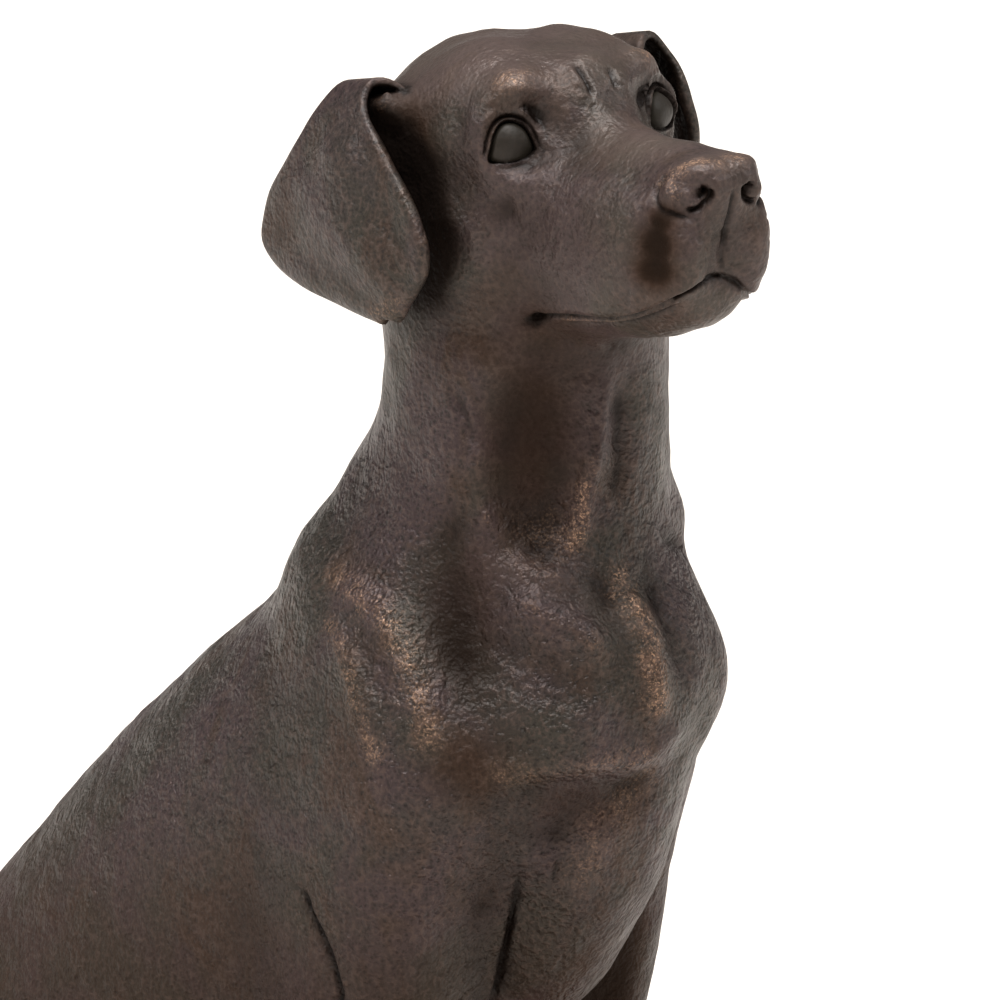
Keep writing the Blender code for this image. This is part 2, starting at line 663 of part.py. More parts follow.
def make_dog(collection):
    mesh = thinned(dog_mesh(), TRIANGLES)
    points, _ = mesh_arrays(mesh)
    points[points[:, 2] < 0.04, 2] = 0.0
    points = points * GRID + (0, DOG_SHIFT * GRID, SEAT)
    set_points(mesh, points)
    mesh.name = "dog"
    mesh.materials.append(bronze())
    mesh.shade_smooth()
    dog = bpy.data.objects.new("dog", mesh)
    collection.objects.link(dog)


def make_base(collection):
    """A plain slab with round corners and a softened upper edge."""
    length = (NOSE_REACH + RUMP_REACH) * GRID + 2 * BASE_MARGIN
    width = 2 * (SIDE_REACH * GRID + BASE_MARGIN)
    work = bmesh.new()
    place = Matrix.Translation((0, 0, BASE_THICKNESS / 2)) @ Matrix.Diagonal(
        (width, length, BASE_THICKNESS, 1))
    bmesh.ops.create_cube(work, size=1, matrix=place)
    upright = [edge for edge in work.edges
               if abs(edge.verts[0].co.z - edge.verts[1].co.z) > 1e-6]
    corner = min(BASE_CORNER, width * 0.45)
    bmesh.ops.bevel(work, geom=upright, offset=corner, segments=8, affect="EDGES", profile=0.5)
    top = [edge for edge in work.edges
           if all(vert.co.z > BASE_THICKNESS - 1e-6 for vert in edge.verts)]
    softening = min(BASE_EDGE, BASE_THICKNESS * 0.4)
    bmesh.ops.bevel(work, geom=top, offset=softening, segments=3, affect="EDGES", profile=0.5)
    mesh = bpy.data.meshes.new("base")
    work.to_mesh(mesh)
    work.free()
    mesh.materials.append(bronze())
    mesh.shade_smooth()
    mesh.set_sharp_from_angle(angle=math.radians(40))
    collection.objects.link(bpy.data.objects.new("base", mesh))


def main():
    for old in list(bpy.data.objects):
        bpy.data.objects.remove(old)
    collection = bpy.data.collections.new("bronze_dog")
    bpy.context.scene.collection.children.link(collection)
    make_dog(collection)
    make_base(collection)


main()
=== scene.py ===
"""A seated dog in cast bronze on a low base, with its fine carving, patina, light and view.

The dog's form is gathered from soft masses into one skin, which is then refined where the
face is and carved. It faces -Y with its head turned a little to its right, which is at -X.
"""
import json
import math

import bmesh
import bpy
import numpy as np
from mathutils import Euler, Matrix, Vector, noise
from mathutils.bvhtree import BVHTree

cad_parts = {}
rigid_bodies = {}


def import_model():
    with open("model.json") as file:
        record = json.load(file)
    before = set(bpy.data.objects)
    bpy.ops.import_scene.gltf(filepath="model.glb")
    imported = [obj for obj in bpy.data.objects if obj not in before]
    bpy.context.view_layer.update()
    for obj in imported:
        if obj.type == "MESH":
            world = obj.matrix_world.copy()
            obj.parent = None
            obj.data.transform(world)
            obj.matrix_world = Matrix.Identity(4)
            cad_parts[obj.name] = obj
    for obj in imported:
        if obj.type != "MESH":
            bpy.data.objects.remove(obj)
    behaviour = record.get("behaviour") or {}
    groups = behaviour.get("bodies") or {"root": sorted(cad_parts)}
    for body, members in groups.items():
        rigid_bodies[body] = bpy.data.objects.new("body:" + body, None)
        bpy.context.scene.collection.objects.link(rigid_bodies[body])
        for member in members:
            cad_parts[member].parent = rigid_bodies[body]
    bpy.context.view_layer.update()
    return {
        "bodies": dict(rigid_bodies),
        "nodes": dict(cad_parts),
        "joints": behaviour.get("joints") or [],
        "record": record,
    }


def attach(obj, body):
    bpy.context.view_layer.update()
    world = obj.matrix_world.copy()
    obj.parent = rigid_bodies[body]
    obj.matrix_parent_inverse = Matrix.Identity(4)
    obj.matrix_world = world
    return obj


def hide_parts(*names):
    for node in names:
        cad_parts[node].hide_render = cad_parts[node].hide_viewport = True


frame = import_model()

# The dog stands on the base; its pose is counted in 75ths of its own height
GRID = 0.480 / 75.0
SEAT = 0.0183
DOG_SHIFT = -15.2

# The head's own frame lies between the eyes, with the body's axes turned and tipped up
HEAD_PLACE = (-1.0, -5.2, 71.4)
HEAD_TURN = -13.0
HEAD_PITCH = -14.0
HEAD = (Matrix.Translation(HEAD_PLACE) @ Matrix.Rotation(math.radians(HEAD_TURN), 4, "Z")
        @ Matrix.Rotation(math.radians(HEAD_PITCH), 4, "X"))

# How fine the first skin is, in grid units, and how often it is evened out
GRAIN = 0.5
ROUNDS = 26
FILL_ROUNDS = 70
FINE_LEVELS = 3
FINE_ROUNDS = 4
JOINT_ROUNDS = 10
# A skin that is pulled in and let out again by these shares keeps its size
RELAX_PULLS = (0.5, -0.52)

# An ellipsoid is this ball, stretched
BALL_AROUND = 20
BALL_RINGS = 12

# How many rows a smooth path gets for each of its stretches
LIMB_STEPS = 5
CUT_STEPS = 5
OUTLINE_STEPS = 4


def unit_ball(around, rings):
    ball = bmesh.new()
    bmesh.ops.create_uvsphere(ball, u_segments=around, v_segments=rings, radius=1)
    points = np.array([vert.co[:] for vert in ball.verts])
    faces = [[vert.index for vert in face.verts] for face in ball.faces]
    ball.free()
    return points, faces


BALL = unit_ball(BALL_AROUND, BALL_RINGS)


def moved(points, matrix):
    turn = np.array(matrix.to_3x3())
    return points @ turn.T + np.array(matrix.translation)


def placed(name, data):
    """A new object in the scene."""
    made = bpy.data.objects.new(name, data)
    bpy.context.scene.collection.objects.link(made)
    return made


def evaluated_mesh(holder):
    """The mesh that an object has after its modifiers; the object itself goes."""
    evaluated = holder.evaluated_get(bpy.context.evaluated_depsgraph_get())
    result = bpy.data.meshes.new_from_object(evaluated)
    bpy.data.objects.remove(holder)
    return result


def lump(form, centre, radii, turn=(0, 0, 0), frame=Matrix()):
    """Add an ellipsoid to the form."""
    spin = Euler([math.radians(angle) for angle in turn]).to_matrix().to_4x4()
    place = frame @ Matrix.Translation(centre) @ spin @ Matrix.Diagonal((*radii, 1))
    form.append((moved(BALL[0], place), BALL[1]))


def lumps(form, centre, radii, turn=(0, 0, 0), frame=Matrix()):
    """Add an ellipsoid and its mirror image across the frame's own middle plane."""
    lump(form, centre, radii, turn, frame)
    mirrored = (-centre[0], centre[1], centre[2])
    lump(form, mirrored, radii, (turn[0], -turn[1], -turn[2]), frame)


def smooth_path(stations, steps):
    """Rows of numbers passed through smoothly, with steps rows for each stretch."""
    rows = np.array(stations, float)
    padded = np.vstack([2 * rows[0] - rows[1], rows, 2 * rows[-1] - rows[-2]])
    path = []
    for i in range(1, len(rows)):
        before, start, end, after = padded[i - 1:i + 3]
        for t in np.arange(steps) / steps:
            path.append(0.5 * (2 * start + (end - before) * t
                               + (2 * before - 5 * start + 4 * end - after) * t * t
                               + (3 * start - before - 3 * end + after) * t ** 3))
    path.append(rows[-1])
    return np.array(path)


def limb(form, stations, frame=Matrix()):
    """A limb or trunk: flattened masses set close along a path.

    Each station is a centre, half the width across the body and half the depth.
    """
    path = smooth_path(stations, LIMB_STEPS)
    for i, (x, y, z, wide, deep) in enumerate(path):
        ahead = path[min(i + 1, len(path) - 1), :3]
        behind = path[max(i - 1, 0), :3]
        along = Vector(ahead - behind).normalized()
        across = Vector((1, 0, 0))
        across = (across - along * across.dot(along)).normalized()
        deepwise = along.cross(across)
        axes = Matrix((across, deepwise, along)).transposed().to_4x4()
        size = Matrix.Diagonal((wide, deep, min(wide, deep), 1))
        place = frame @ Matrix.Translation((x, y, z)) @ axes @ size
        form.append((moved(BALL[0], place), BALL[1]))


def limbs(form, stations, frame=Matrix()):
    """A limb and its mirror image across the frame's own middle plane."""
    limb(form, stations, frame)
    limb(form, [(-x, *others) for x, *others in stations], frame)


TOE_SPACING = 1.4


def paw(form, x, y, length, frame):
    """A paw with four toes, on both sides of the body."""
    lumps(form, (x, y + 0.7, 2.2), (2.9, length * 0.8, 2.5), frame=frame)
    for toe in range(4):
        spread = toe - 1.5
        reach = length * (0.60 if abs(spread) > 1 else 0.78)
        lumps(form, (x + TOE_SPACING * spread, y - reach * 0.75, 1.3),
                  (1.0, length * 0.36, 1.6), (0, 0, 7 * spread), frame)


def gather(form, masses, frame=Matrix()):
    for add, *shape in masses:
        add(form, *shape, frame=frame)


# The body: limbs have stations, lumps a centre, radii and a turn in degrees, and paws a
# middle and a length
BODY_MASSES = (
    (limb, ((0, -3, 48.2, 6.4, 6.2), (0, 1.8, 46.3, 8, 7.5), (0, 6.3, 41.1, 9, 9.4),
     (0, 11, 35, 9.6, 10.8), (0, 17, 29.8, 9.4, 9.9), (0, 23, 24.5, 9.2, 9.2),
     (0, 29.5, 18.5, 9.6, 9.4), (0, 34, 11.5, 9.2, 9))),
    (lump, (0, 33.8, 8.4), (9, 8.6, 9.3)),
    # Breast muscles, the breastbone between them and the brisket below
    (lumps, (2.9, -5, 48), (3.7, 3.2, 4.4), (-14, 0, 0)),
    (lumps, (2.6, -4, 51.6), (3.2, 2.8, 3.6), (-14, 0, 0)),
    (lump, (0, -5.8, 47.8), (2.8, 2.8, 4.6), (-10, 0, 0)),
    (limb, ((0, -4.4, 45.4, 5.4, 4), (0, -3.6, 41.2, 4.7, 3.9), (0, -2, 37.5, 4, 3.6),
     (0, 0.4, 34.2, 3.2, 3.2), (0, 3.4, 30.5, 3.6, 3.6), (0, 6.4, 28, 4.8, 4))),
    (limb, ((0, 3.4, 47.5, 5.4, 7.2), (0, 0.9, 52, 6.1, 7.1), (0.15, -0.8, 56.5, 5.85, 6.3),
     (0.1, -1.15, 61, 5.8, 5.9), (0, -0.7, 65.5, 5.7, 6), (-0.2, 0, 69, 5.2, 5.8))),
    # Muscles down both sides of the neck to the breast
    (limbs, ((4, -1.4, 62, 1.7, 2.6), (4.3, -1.6, 57, 1.8, 2.8), (4.6, -2, 52.5, 2, 2.8))),
    # Shoulders, forelegs and their paws
    (limbs, ((3, 6.5, 51.7, 2, 2.5), (4.9, 3.6, 50, 2.8, 4), (6.3, -0.2, 46.4, 3.2, 4.6),
     (6.5, 1.5, 38.8, 3.6, 4.6), (6, 2, 32, 3.3, 4.1), (5.6, 2.3, 27.5, 2.8, 3.3),
     (5.3, 1.2, 21, 2.6, 2.9), (5.2, 0.2, 14, 2.35, 2.5), (5.2, -0.4, 9, 2.6, 2.6),
     (5.3, -1.4, 5, 2.4, 2.4))),
    (lumps, (5.9, 4.8, 29), (2, 2.4, 2.8)), (paw, 5.4, -4.6, 5.2),
    # Haunches, hind legs and their paws, and the tail
    (limbs, ((6.2, 31.5, 17.5, 5.8, 9), (8.6, 25, 18.5, 5.6, 8.8), (9.8, 18, 20, 5, 7.2),
     (10.2, 12, 21, 4.2, 4.8))),
    (limbs, ((10.4, 11.8, 19.5, 4, 4.4), (10.6, 15.5, 13, 4.4, 5.8), (10.5, 22, 7.4, 4, 5.2),
     (10.2, 27.5, 3.6, 3, 4), (10.6, 20.5, 2.4, 2.7, 2.9), (11, 13, 2.2, 2.7, 2.7))),
    (lumps, (9, 22, 15), (5.6, 12, 10), (-14, 0, 0)), (lumps, (8.8, 26, 10.5), (5.4, 9, 8.6)),
    (lumps, (8, 30, 8.4), (5.4, 8.4, 9)), (paw, 11.2, 8.4, 5),
    (limb, ((0, 38.5, 7.5, 3.6, 3.6), (1.2, 41.4, 3.8, 3, 2.8), (6, 42.4, 2.1, 2.3, 2.4),
     (11.6, 39.2, 1.8, 2, 2.2), (14.9, 33, 1.5, 1.7, 2), (15.6, 26.5, 1.2, 1.1, 1.6))),
)
# The masses of the head, in its own frame
HEAD_MASSES = (
    (lumps, (1.7, 3.9, -0.05), (3.8, 5.2, 4)), (lump, (0, 8.4, -1.2), (3.8, 3.6, 3.7)),
    (lumps, (2.7, 1, 1), (2, 2.1, 1.7)), (lumps, (3.75, 1.15, 0), (1.4, 1.6, 1.9)),
    (lump, (0, 0.9, 0.6), (2.8, 2.8, 2.6)), (lumps, (3.4, 2, -1.4), (1.4, 2.9, 2.2)),
    (lumps, (3.4, 4.8, -3.6), (2.3, 4.2, 4.2)),
    (limb, ((0, 1, -1.7, 2.9, 2.2), (0, -3, -2.1, 2.1, 1.8), (0, -7.2, -3, 1.8, 1.4))),
    (limbs, ((2, 2.6, -4, 2, 3.2), (2.1, -1, -4.4, 1.7, 3.1), (1.9, -4.4, -4.8, 1.6, 2.9),
     (1.6, -6.9, -5, 1.55, 2.3))),
    (lumps, (1.55, -6.9, -6.3), (1.1, 1.2, 1.2)),
    (limbs, ((2.1, 2, -5.7, 1.6, 1.9), (2, -1, -6.3, 1.5, 1.65), (1.9, -4.2, -6.4, 1.5, 1.6),
     (1.5, -6.5, -6, 1.5, 1.6))),
    (limb, ((0, 6, -6, 3.6, 2.6), (0, 1, -7, 2.9, 1.75), (0, -3.6, -7.55, 2.3, 1.35),
     (0, -6.1, -7.35, 1.7, 1.3))),
    # The nose pad and its two wings
    (lump, (0, -7.9, -2.9), (1.9, 1.35, 1.25)), (lumps, (0.75, -8.1, -2.75), (1.2, 1.5, 1.15)),
    (lump, (0, -7.9, -3.5), (1.5, 1.15, 1.2)), (lumps, (1.35, -7.6, -2.95), (0.95, 1.2, 1.05)),
)


# The ear's leather in the head's frame, from its root over the fold to its tip: how far out
# and how high its middle is, and where its front and back edges lie
EAR_LEATHER = (
    (3.9, 0.9, 5.6, 8.6), (4.9, 2.3, 5, 8.4), (5.5, 2.86, 5.3, 7.9), (6.2, 2.86, 5.6, 8),
    (6.75, 2.1, 5.5, 8.8), (7.1, 1, 4.8, 10), (7.35, -0.1, 4, 11.3), (7.5, -1.1, 3.2, 12.4),
    (7.6, -2.1, 2.65, 12.9), (7.65, -3, 2.4, 13), (7.65, -3.9, 2.2, 12.2), (7.6, -4.8, 2.4, 10.7),
    (7.5, -5.5, 3.1, 8.9), (7.4, -6.05, 3.95, 7.5), (7.35, -6.38, 4.4, 6.3),
    (7.33, -6.56, 4.9, 5.6),
)
EAR_HALF = 0.32
# How far the flap's edges bend in to the head
EAR_BEND = 0.35
# How far each ear is moved out, back and up, and how much its flap swings back
RIGHT_EAR = (0.0, 0.0, -0.15, 0.0)
LEFT_EAR = (0.75, -1.65, -0.15, 0.86)
EAR_STEPS = 4
EAR_COLUMNS = 30


def ear(side, set_of_ear):
    """A hanging ear: leather that rises from the skull and folds over into a flap.

    It is a closed shell of points and faces in the head's frame, with a round rim.
    """
    out, back, up, swing = set_of_ear
    rows = smooth_path(EAR_LEATHER, EAR_STEPS)
    share = (1 - np.cos(np.linspace(0, math.pi, EAR_COLUMNS))) / 2
    x, z, front, rear = [rows[:, [i]] for i in range(4)]
    y = front + (rear - front) * share
    hangs = eased((1.8 - z) / 2.0)
    across = 2 * share - 1
    waves = 0.10 * np.sin(5.0 * share + 0.5 * z) + 0.07 * np.sin(9.0 * share - 1.3 * z)
    # A soft swelling runs down the flap, with a hollow behind it and another before it
    waves = waves + 0.24 * np.exp(-((share - 0.40 - 0.02 * z) / 0.15) ** 2)
    waves = waves - 0.16 * np.exp(-((share - 0.74) / 0.12) ** 2) * eased((z + 4.5) / 2.5)
    waves = waves - 0.14 * np.exp(-((share - 0.13) / 0.08) ** 2)
    x = x - EAR_BEND * hangs * across ** 2 + waves * hangs * eased((z + 6.6) / 1.8)
    below = 1.05 - z
    y = y + back + swing * (below + np.sqrt(below ** 2 + 0.9)) / 2
    middle = np.dstack([side * (x + out), y, z + up + 0 * y])
    down = np.gradient(middle, axis=0)
    over = np.gradient(middle, axis=1)
    normal = np.cross(over, down) * side
    normal /= np.maximum(np.linalg.norm(normal, axis=2, keepdims=True), 1e-6)
    rim = np.concatenate([middle[0], middle[1:, -1], middle[-1, -2::-1], middle[-2::-1, 0]])
    fine = smooth_path(rim, 2)
    near = np.array([np.linalg.norm(fine - spot, axis=1).min()
                     for spot in middle.reshape(-1, 3)]).reshape(x.shape[0], -1)
    half = EAR_HALF * (1 - 0.42 * eased((z - 0.3) / 1.2))
    short = 1 - np.minimum(near / half, 1)
    thick = half * np.sqrt(np.maximum(1 - short ** 2, 0))
    count, width = thick.shape
    edge = np.zeros((count, width), bool)
    edge[[0, -1]] = True
    edge[:, [0, -1]] = True
    thick[edge] = 0
    # A line along the front rim makes it look rolled
    lip = 0.13 * np.exp(-((near - 0.46) / 0.13) ** 2) * (share < 0.5) * hangs
    outer = middle + normal * (thick - lip)[:, :, None]
    inner = middle - normal * thick[:, :, None]
    # Both sheets share the points of the rim
    upper = np.arange(count * width).reshape(count, width)
    lower = upper.copy()
    lower[~edge] = count * width + np.arange(np.sum(~edge))
    sheets = [np.dstack([grid[:-1, :-1], grid[:-1, 1:], grid[1:, 1:], grid[1:, :-1]])[:, :, ::way]
              for grid, way in ((upper, side), (lower, -side))]
    points = np.concatenate([outer.reshape(-1, 3), inner[~edge]])
    return points, np.stack(sheets, axis=2).reshape(-1, 4).tolist()


def masses():
    """All masses of the dog, each a pair of points and faces."""
    form = []
    gather(form, BODY_MASSES)
    gather(form, HEAD_MASSES, HEAD)
    # The ears' folds are closed behind
    for side, (out, back, up, _) in ((-1, RIGHT_EAR), (1, LEFT_EAR)):
        lump(form, (side * (5.6 + out), 7.4 + back, 0.7 + up), (1.5, 1.3, 2.2), frame=HEAD)
    # The root of the right ear closes its fold in front
    lump(form, (-5.75, 5.5, 1.9), (0.8, 1.0, 0.6), (0, 0, 25), HEAD)
    return form


def joined(name, form):
    """An object of all masses, each a pair of points and faces."""
    faces = []
    count = 0
    for mass_points, mass_faces in form:
        faces.extend([[corner + count for corner in face] for face in mass_faces])
        count += len(mass_points)
    mesh = bpy.data.meshes.new(name)
    mesh.from_pydata(np.concatenate([points for points, _ in form]).tolist(), [], faces)
    return placed(name, mesh)


def fused(form):
    """One skin over all masses."""
    rough = joined("dog", form)
    skin = rough.modifiers.new("Skin", "REMESH")
    skin.mode = "VOXEL"
    skin.voxel_size = GRAIN
    return evaluated_mesh(rough)


def read(items, key, width, kind=float):
    values = np.empty(len(items) * width, kind)
    items.foreach_get(key, values)
    return values.reshape(-1, width)


def mesh_arrays(mesh):
    return read(mesh.vertices, "co", 3), read(mesh.edges, "vertices", 2, int)


def mesh_normals(mesh):
    return read(mesh.vertex_normals, "vector", 3)


def search_tree(points, mesh):
    return BVHTree.FromPolygons(points.tolist(), [face.vertices[:] for face in mesh.polygons])


def set_points(mesh, points):
    mesh.vertices.foreach_set("co", points.ravel())
    mesh.update()


def eased(value):
    value = np.clip(value, 0, 1)
    return value * value * (3 - 2 * value)


class Web:
    """The points that are joined by edges, to even out what they carry."""

    def __init__(self, edges, count):
        self.count = count
        self.ends = np.concatenate([edges, edges[:, ::-1]])
        self.near = np.bincount(self.ends[:, 0], minlength=count)[:, None]

    def pull(self, values):
        """The way from each point's values to the mean of its neighbours'."""
        start, end = self.ends.T
        total = np.column_stack([np.bincount(start, values[end, axis], self.count)
                                 for axis in range(values.shape[1])])
        return total / self.near - values

    def calmed(self, values, rounds, share):
        for _ in range(rounds):
            values = values + self.pull(values) * share
        return values


def relaxed(points, edges, rounds, weight):
    """Even out the skin without shrinking it, by as much as each point's weight."""
    web = Web(edges, len(points))
    for _ in range(rounds):
        for share in RELAX_PULLS:
            points = points + web.pull(points) * share * weight[:, None]
    return points


def mirrored(points):
    """The points brought to the side of +X."""
    return np.column_stack([np.abs(points[:, 0]), points[:, 1], points[:, 2]])


def spread(points, centre, radii):
    """The square of each point's distance from a centre, counted in the radii."""
    return (((points - centre) / np.array(radii)) ** 2).sum(axis=1)


def to_path(points, path, margin=5.0):
    """Distance of each point to a line through the path's points, and how far along it is."""
    path = np.array(path, float)
    nearest = np.full(len(points), np.inf)
    place = np.zeros(len(points))
    low, high = path.min(axis=0) - margin, path.max(axis=0) + margin
    close = np.flatnonzero(((points > low) & (points < high)).all(axis=1))
    spots = points[close]
    best = np.full(len(close), np.inf)
    where = np.zeros(len(close))
    for i, (start, end) in enumerate(zip(path[:-1], path[1:])):
        along = end - start
        share = np.clip((spots - start) @ along / max(along @ along, 1e-9), 0, 1)
        reach = np.linalg.norm(spots - start - share[:, None] * along, axis=1)
        better = reach < best
        best[better] = reach[better]
        where[better] = i + share[better]
    nearest[close] = best
    place[close] = where / (len(path) - 1)
    return nearest, place


class Carver:
    """A skin under the chisel. Cuts are laid on the skin as it was when the work began."""

    def __init__(self, mesh, of_head):
        points, _ = mesh_arrays(mesh)
        normals = mesh_normals(mesh)
        if of_head:
            points = in_head(points)
            normals = normals @ np.array(HEAD.to_3x3())
        self.mesh = mesh
        self.of_head = of_head
        self.start = points
        self.points = points.copy()
        self.normals = normals
        self.skin = search_tree(points, mesh)

    def laid(self, path):
        """The path made smooth and laid on the skin."""
        spots = [self.skin.find_nearest(Vector(spot)) for spot in smooth_path(path, CUT_STEPS)]
        line = np.array([spot[0][:] for spot in spots])
        line[1:-1] = (line[:-2] + 2 * line[1:-1] + line[2:]) / 4
        return line

    def furrow(self, path, width, depth, fade=0.0):
        """Press a furrow that fades over a share of its length; a negative depth is a ridge."""
        reach, place = to_path(self.start, self.laid(path), 3 * width)
        amount = depth * np.exp(-(reach / width) ** 2)
        if fade > 0:
            amount = amount * eased(np.minimum(place, 1 - place) / fade)
        self.points -= self.normals * amount[:, None]

    def swell(self, centre, radii, height, steep=1.0):
        """Raise a swelling; the steeper its sides, the flatter its middle."""
        spot = np.array(self.skin.find_nearest(Vector(centre))[0])
        far = spread(self.start, spot, radii)
        self.points += self.normals * (height * np.exp(-far ** steep))[:, None]

    def carve(self, cuts, side=1, shift=(0, 0, 0)):
        """Make furrows, which start with a path, and swellings, which start with a point."""
        for place, *rest in cuts:
            place = np.array(place) * (side, 1, 1) + shift
            (self.furrow if place.ndim == 2 else self.swell)(place, *rest)

    def done(self):
        set_points(self.mesh, moved(self.points, HEAD) if self.of_head else self.points)


# Sharp lines of the body, on the side of +X: between foreleg and breast, round the elbow
# and down the neck
LEG_LINE = (
    (4.4, -4.7, 41.2), (4.2, -4.2, 39.8), (4, -3.8, 38.5), (3.9, -3.3, 36.7), (3.6, -2.8, 34.9),
    (3.2, -1.6, 31),
)
ELBOW_LINE = (
    (9.6, 3.2, 40.1), (9.8, 2.4, 39.6), (9.6, 2, 38.9), (9.5, 1.2, 37.6), (9.3, 0.8, 36.1),
    (9.2, 0.8, 35.4), (8.9, 1.6, 33.6), (8.2, 4.5, 30),
)
NECK_LINE = ((5.5, -2, 60.9), (5.4, -2.4, 60), (5.2, -2.7, 59.1), (5.2, -2.9, 58))
SCRATCH = ((3.75, -6, 41.4), (3.7, -5.9, 40.9), (3.7, -5.8, 40.6), (3.6, -5.6, 40.1))

THROAT_CUTS = (
    # The hollow beside the throat, with the rims that close it on three sides
    ((-4, -4.9, 57.8), (1.9, 2.3, 4.6), -0.9, 1.7), ((-3.9, -5.3, 55.1), (1.5, 1.7, 1.2), -0.28),
    (((-5.1, -3.1, 60), (-5.2, -3.1, 57.4), (-5.5, -3.5, 55.9), (-5.2, -4.3, 54.2)), 0.42, -0.28,
     0.3),
    (((-5.2, -4.3, 54), (-4.8, -4.9, 53.7), (-4.4, -5.6, 53.4), (-3.8, -6, 53.3),
     (-3.2, -6.1, 53.6)), 0.5, -0.4, 0.25),
    (((-1.8, -6.4, 59.4), (-2.3, -6.5, 57.4), (-2.5, -6.4, 56.2), (-2.6, -6.2, 54.9),
     (-3.2, -6.1, 53.8)), 0.45, -0.38, 0.25),
    # The throat's ridge and the groove on its far side
    (((-1.7, -6.8, 62.4), (-1.6, -6.5, 60.2), (-2, -6.5, 58.2), (-2, -6.4, 56.1)), 0.4, -0.24,
     0.3),
    (((-0.7, -6.8, 61.3), (-0.6, -6.6, 59.2), (-0.6, -6.5, 57.1), (-1, -6.6, 55.3)), 0.55, 0.4,
     0.35),
    ((5.3, -4.9, 54.2), (1.5, 1.5, 1.4), 0.6), ((4.5, -7.6, 48.4), (2.4, 2, 3.2), 0.34),
    (((1.6, -6.7, 54.2), (3.4, -6.2, 53.2), (4.9, -5.4, 52.6)), 0.38, 0.4, 0.3),
)
# The breast's slanting plane, the valley under it, the ridge at its middle, the valley
# beyond and the edge where it turns under
BREAST_CUTS = (
    (((-5.3, -4.4, 52.8), (-4.8, -5.4, 52.1), (-4, -6.5, 51.2), (-3.2, -7.4, 50.3),
     (-2.4, -8.1, 49.4)), 0.9, -0.62, 0.3),
    (((-6, -4, 51.2), (-5.6, -5, 50.2), (-5.1, -6.1, 49.3), (-4.4, -7.1, 48.4),
     (-3.6, -7.8, 47.7)), 0.9, 0.26, 0.3),
    (((-2.6, -6.5, 53.8), (-2, -7.1, 52.6), (-1.7, -7.6, 51.6)), 0.6, 0.24, 0.35),
    ((-4.4, -7.5, 47.2), (1.8, 1.5, 1.2), 0.26),
    (((-1.1, -6.9, 53.2), (-1, -8.1, 51.2), (-1.1, -8.7, 49.8), (-0.9, -8.9, 47.9),
     (-0.7, -8.8, 46.2)), 0.65, -0.34, 0.2),
    (((0.4, -6.9, 53.8), (0.5, -7.8, 51.4), (0.7, -8.6, 49.4), (0.9, -8.9, 47)), 0.65, 0.36, 0.35),
    (((-6.9, -4.4, 44.2), (-6.4, -5.3, 45.3), (-5.3, -6.9, 45.7), (-3.5, -8.1, 45.7),
     (-1.2, -8.6, 45.4), (0, -8.9, 46.3), (2.2, -8.6, 46.2)), 0.7, -0.4, 0.15),
    (((0.4, -8.1, 44.6), (-0.9, -8, 44), (-2.7, -7.4, 43.8), (-3.9, -6.3, 42.6),
     (-4.3, -5.4, 41.2)), 1, 0.34, 0.25),
)
# Muscles and lines on both sides of the neck, shoulders and legs
PAIRED_CUTS = (
    (((-5.4, -3, 58.2), (-5.7, -2.5, 56), (-5.9, -2.2, 54.2), (-6.1, -2.5, 52.6),
     (-6.5, -3.2, 50.6), (-6.7, -4.1, 48.4), (-6.8, -4.7, 46.6)), 1.55, 0.62, 0.3),
    (((-6.8, 3.2, 52.4), (-7.4, 1.7, 52), (-7.7, -0.2, 51.4), (-8.3, -2.3, 49.2), (-8.4, -3.2, 47),
     (-8.3, -3.6, 45.6)), 0.7, -0.26, 0.3),
    (((-7.4, 2.6, 51.3), (-8.2, 0.6, 50.2), (-8.6, -0.7, 48.8), (-8.9, -1.8, 47)), 0.6, 0.2, 0.35),
    (((-7.9, 2.6, 50.6), (-8.7, 1.1, 49.5), (-9.1, 0.4, 48.3), (-9.4, -1.1, 45.8)), 0.6, -0.22,
     0.35),
    (LEG_LINE, 0.12, 0.26, 0.25), (LEG_LINE, 0.7, 0.12, 0.25), (ELBOW_LINE, 0.14, 0.26, 0.25),
    (ELBOW_LINE, 0.8, 0.16, 0.25), (NECK_LINE, 0.26, 0.14, 0.35), (SCRATCH, 0.09, 0.12, 0.3),
    (((-6.3, 6.4, 27.2), (-6.2, 5.4, 24.5), (-6, 4.3, 20.5)), 0.5, 0.2, 0.3),
    (((-7.3, 0.2, 14.5), (-7, -0.6, 8)), 0.5, 0.15, 0.4),
    # The thigh's front edge and the tendon above the hock
    (((-13.6, 9.8, 17.8), (-14.3, 13.2, 15.2), (-14.6, 18, 11), (-14.2, 24, 7)), 0.9, 0.26, 0.3),
    (((-12, 29, 5.2), (-12.9, 24, 4.6), (-13.2, 18, 4.4)), 0.5, 0.26, 0.3),
)
# Where the gaps between the toes begin on a forepaw and on a hind paw, and their cut
TOE_STARTS = ((5.4, -9.6), (11.2, 3.6))
TOE_CUT = (0.26, 0.42, 0.2)


def toe_gaps():
    """The lines between the toes of the paws at +X."""
    for x, y in TOE_STARTS:
        for gap in (-1, 0, 1):
            between = x + TOE_SPACING * gap
            yield (between, y, 0.5), (between, y + 2, 3.3), (between, y + 4.4, 4.5)


def body_carving(skin):
    """Muscles and folds of the neck, breast, shoulders and legs."""
    skin.carve(THROAT_CUTS + BREAST_CUTS)
    for side in (1, -1):
        skin.carve(PAIRED_CUTS, side)
        skin.carve([(gap, *TOE_CUT) for gap in toe_gaps()], side)


# The eyes' balls in the head's frame and the way the one at +X looks
EYE_CENTRES = {-1: np.array((-3.30, 1.02, -0.26)), 1: np.array((3.22, 0.92, -0.07))}
EYE_GAZE = np.array((0.50, -0.86, 0.05))
EYE_RADIUS = 1.30
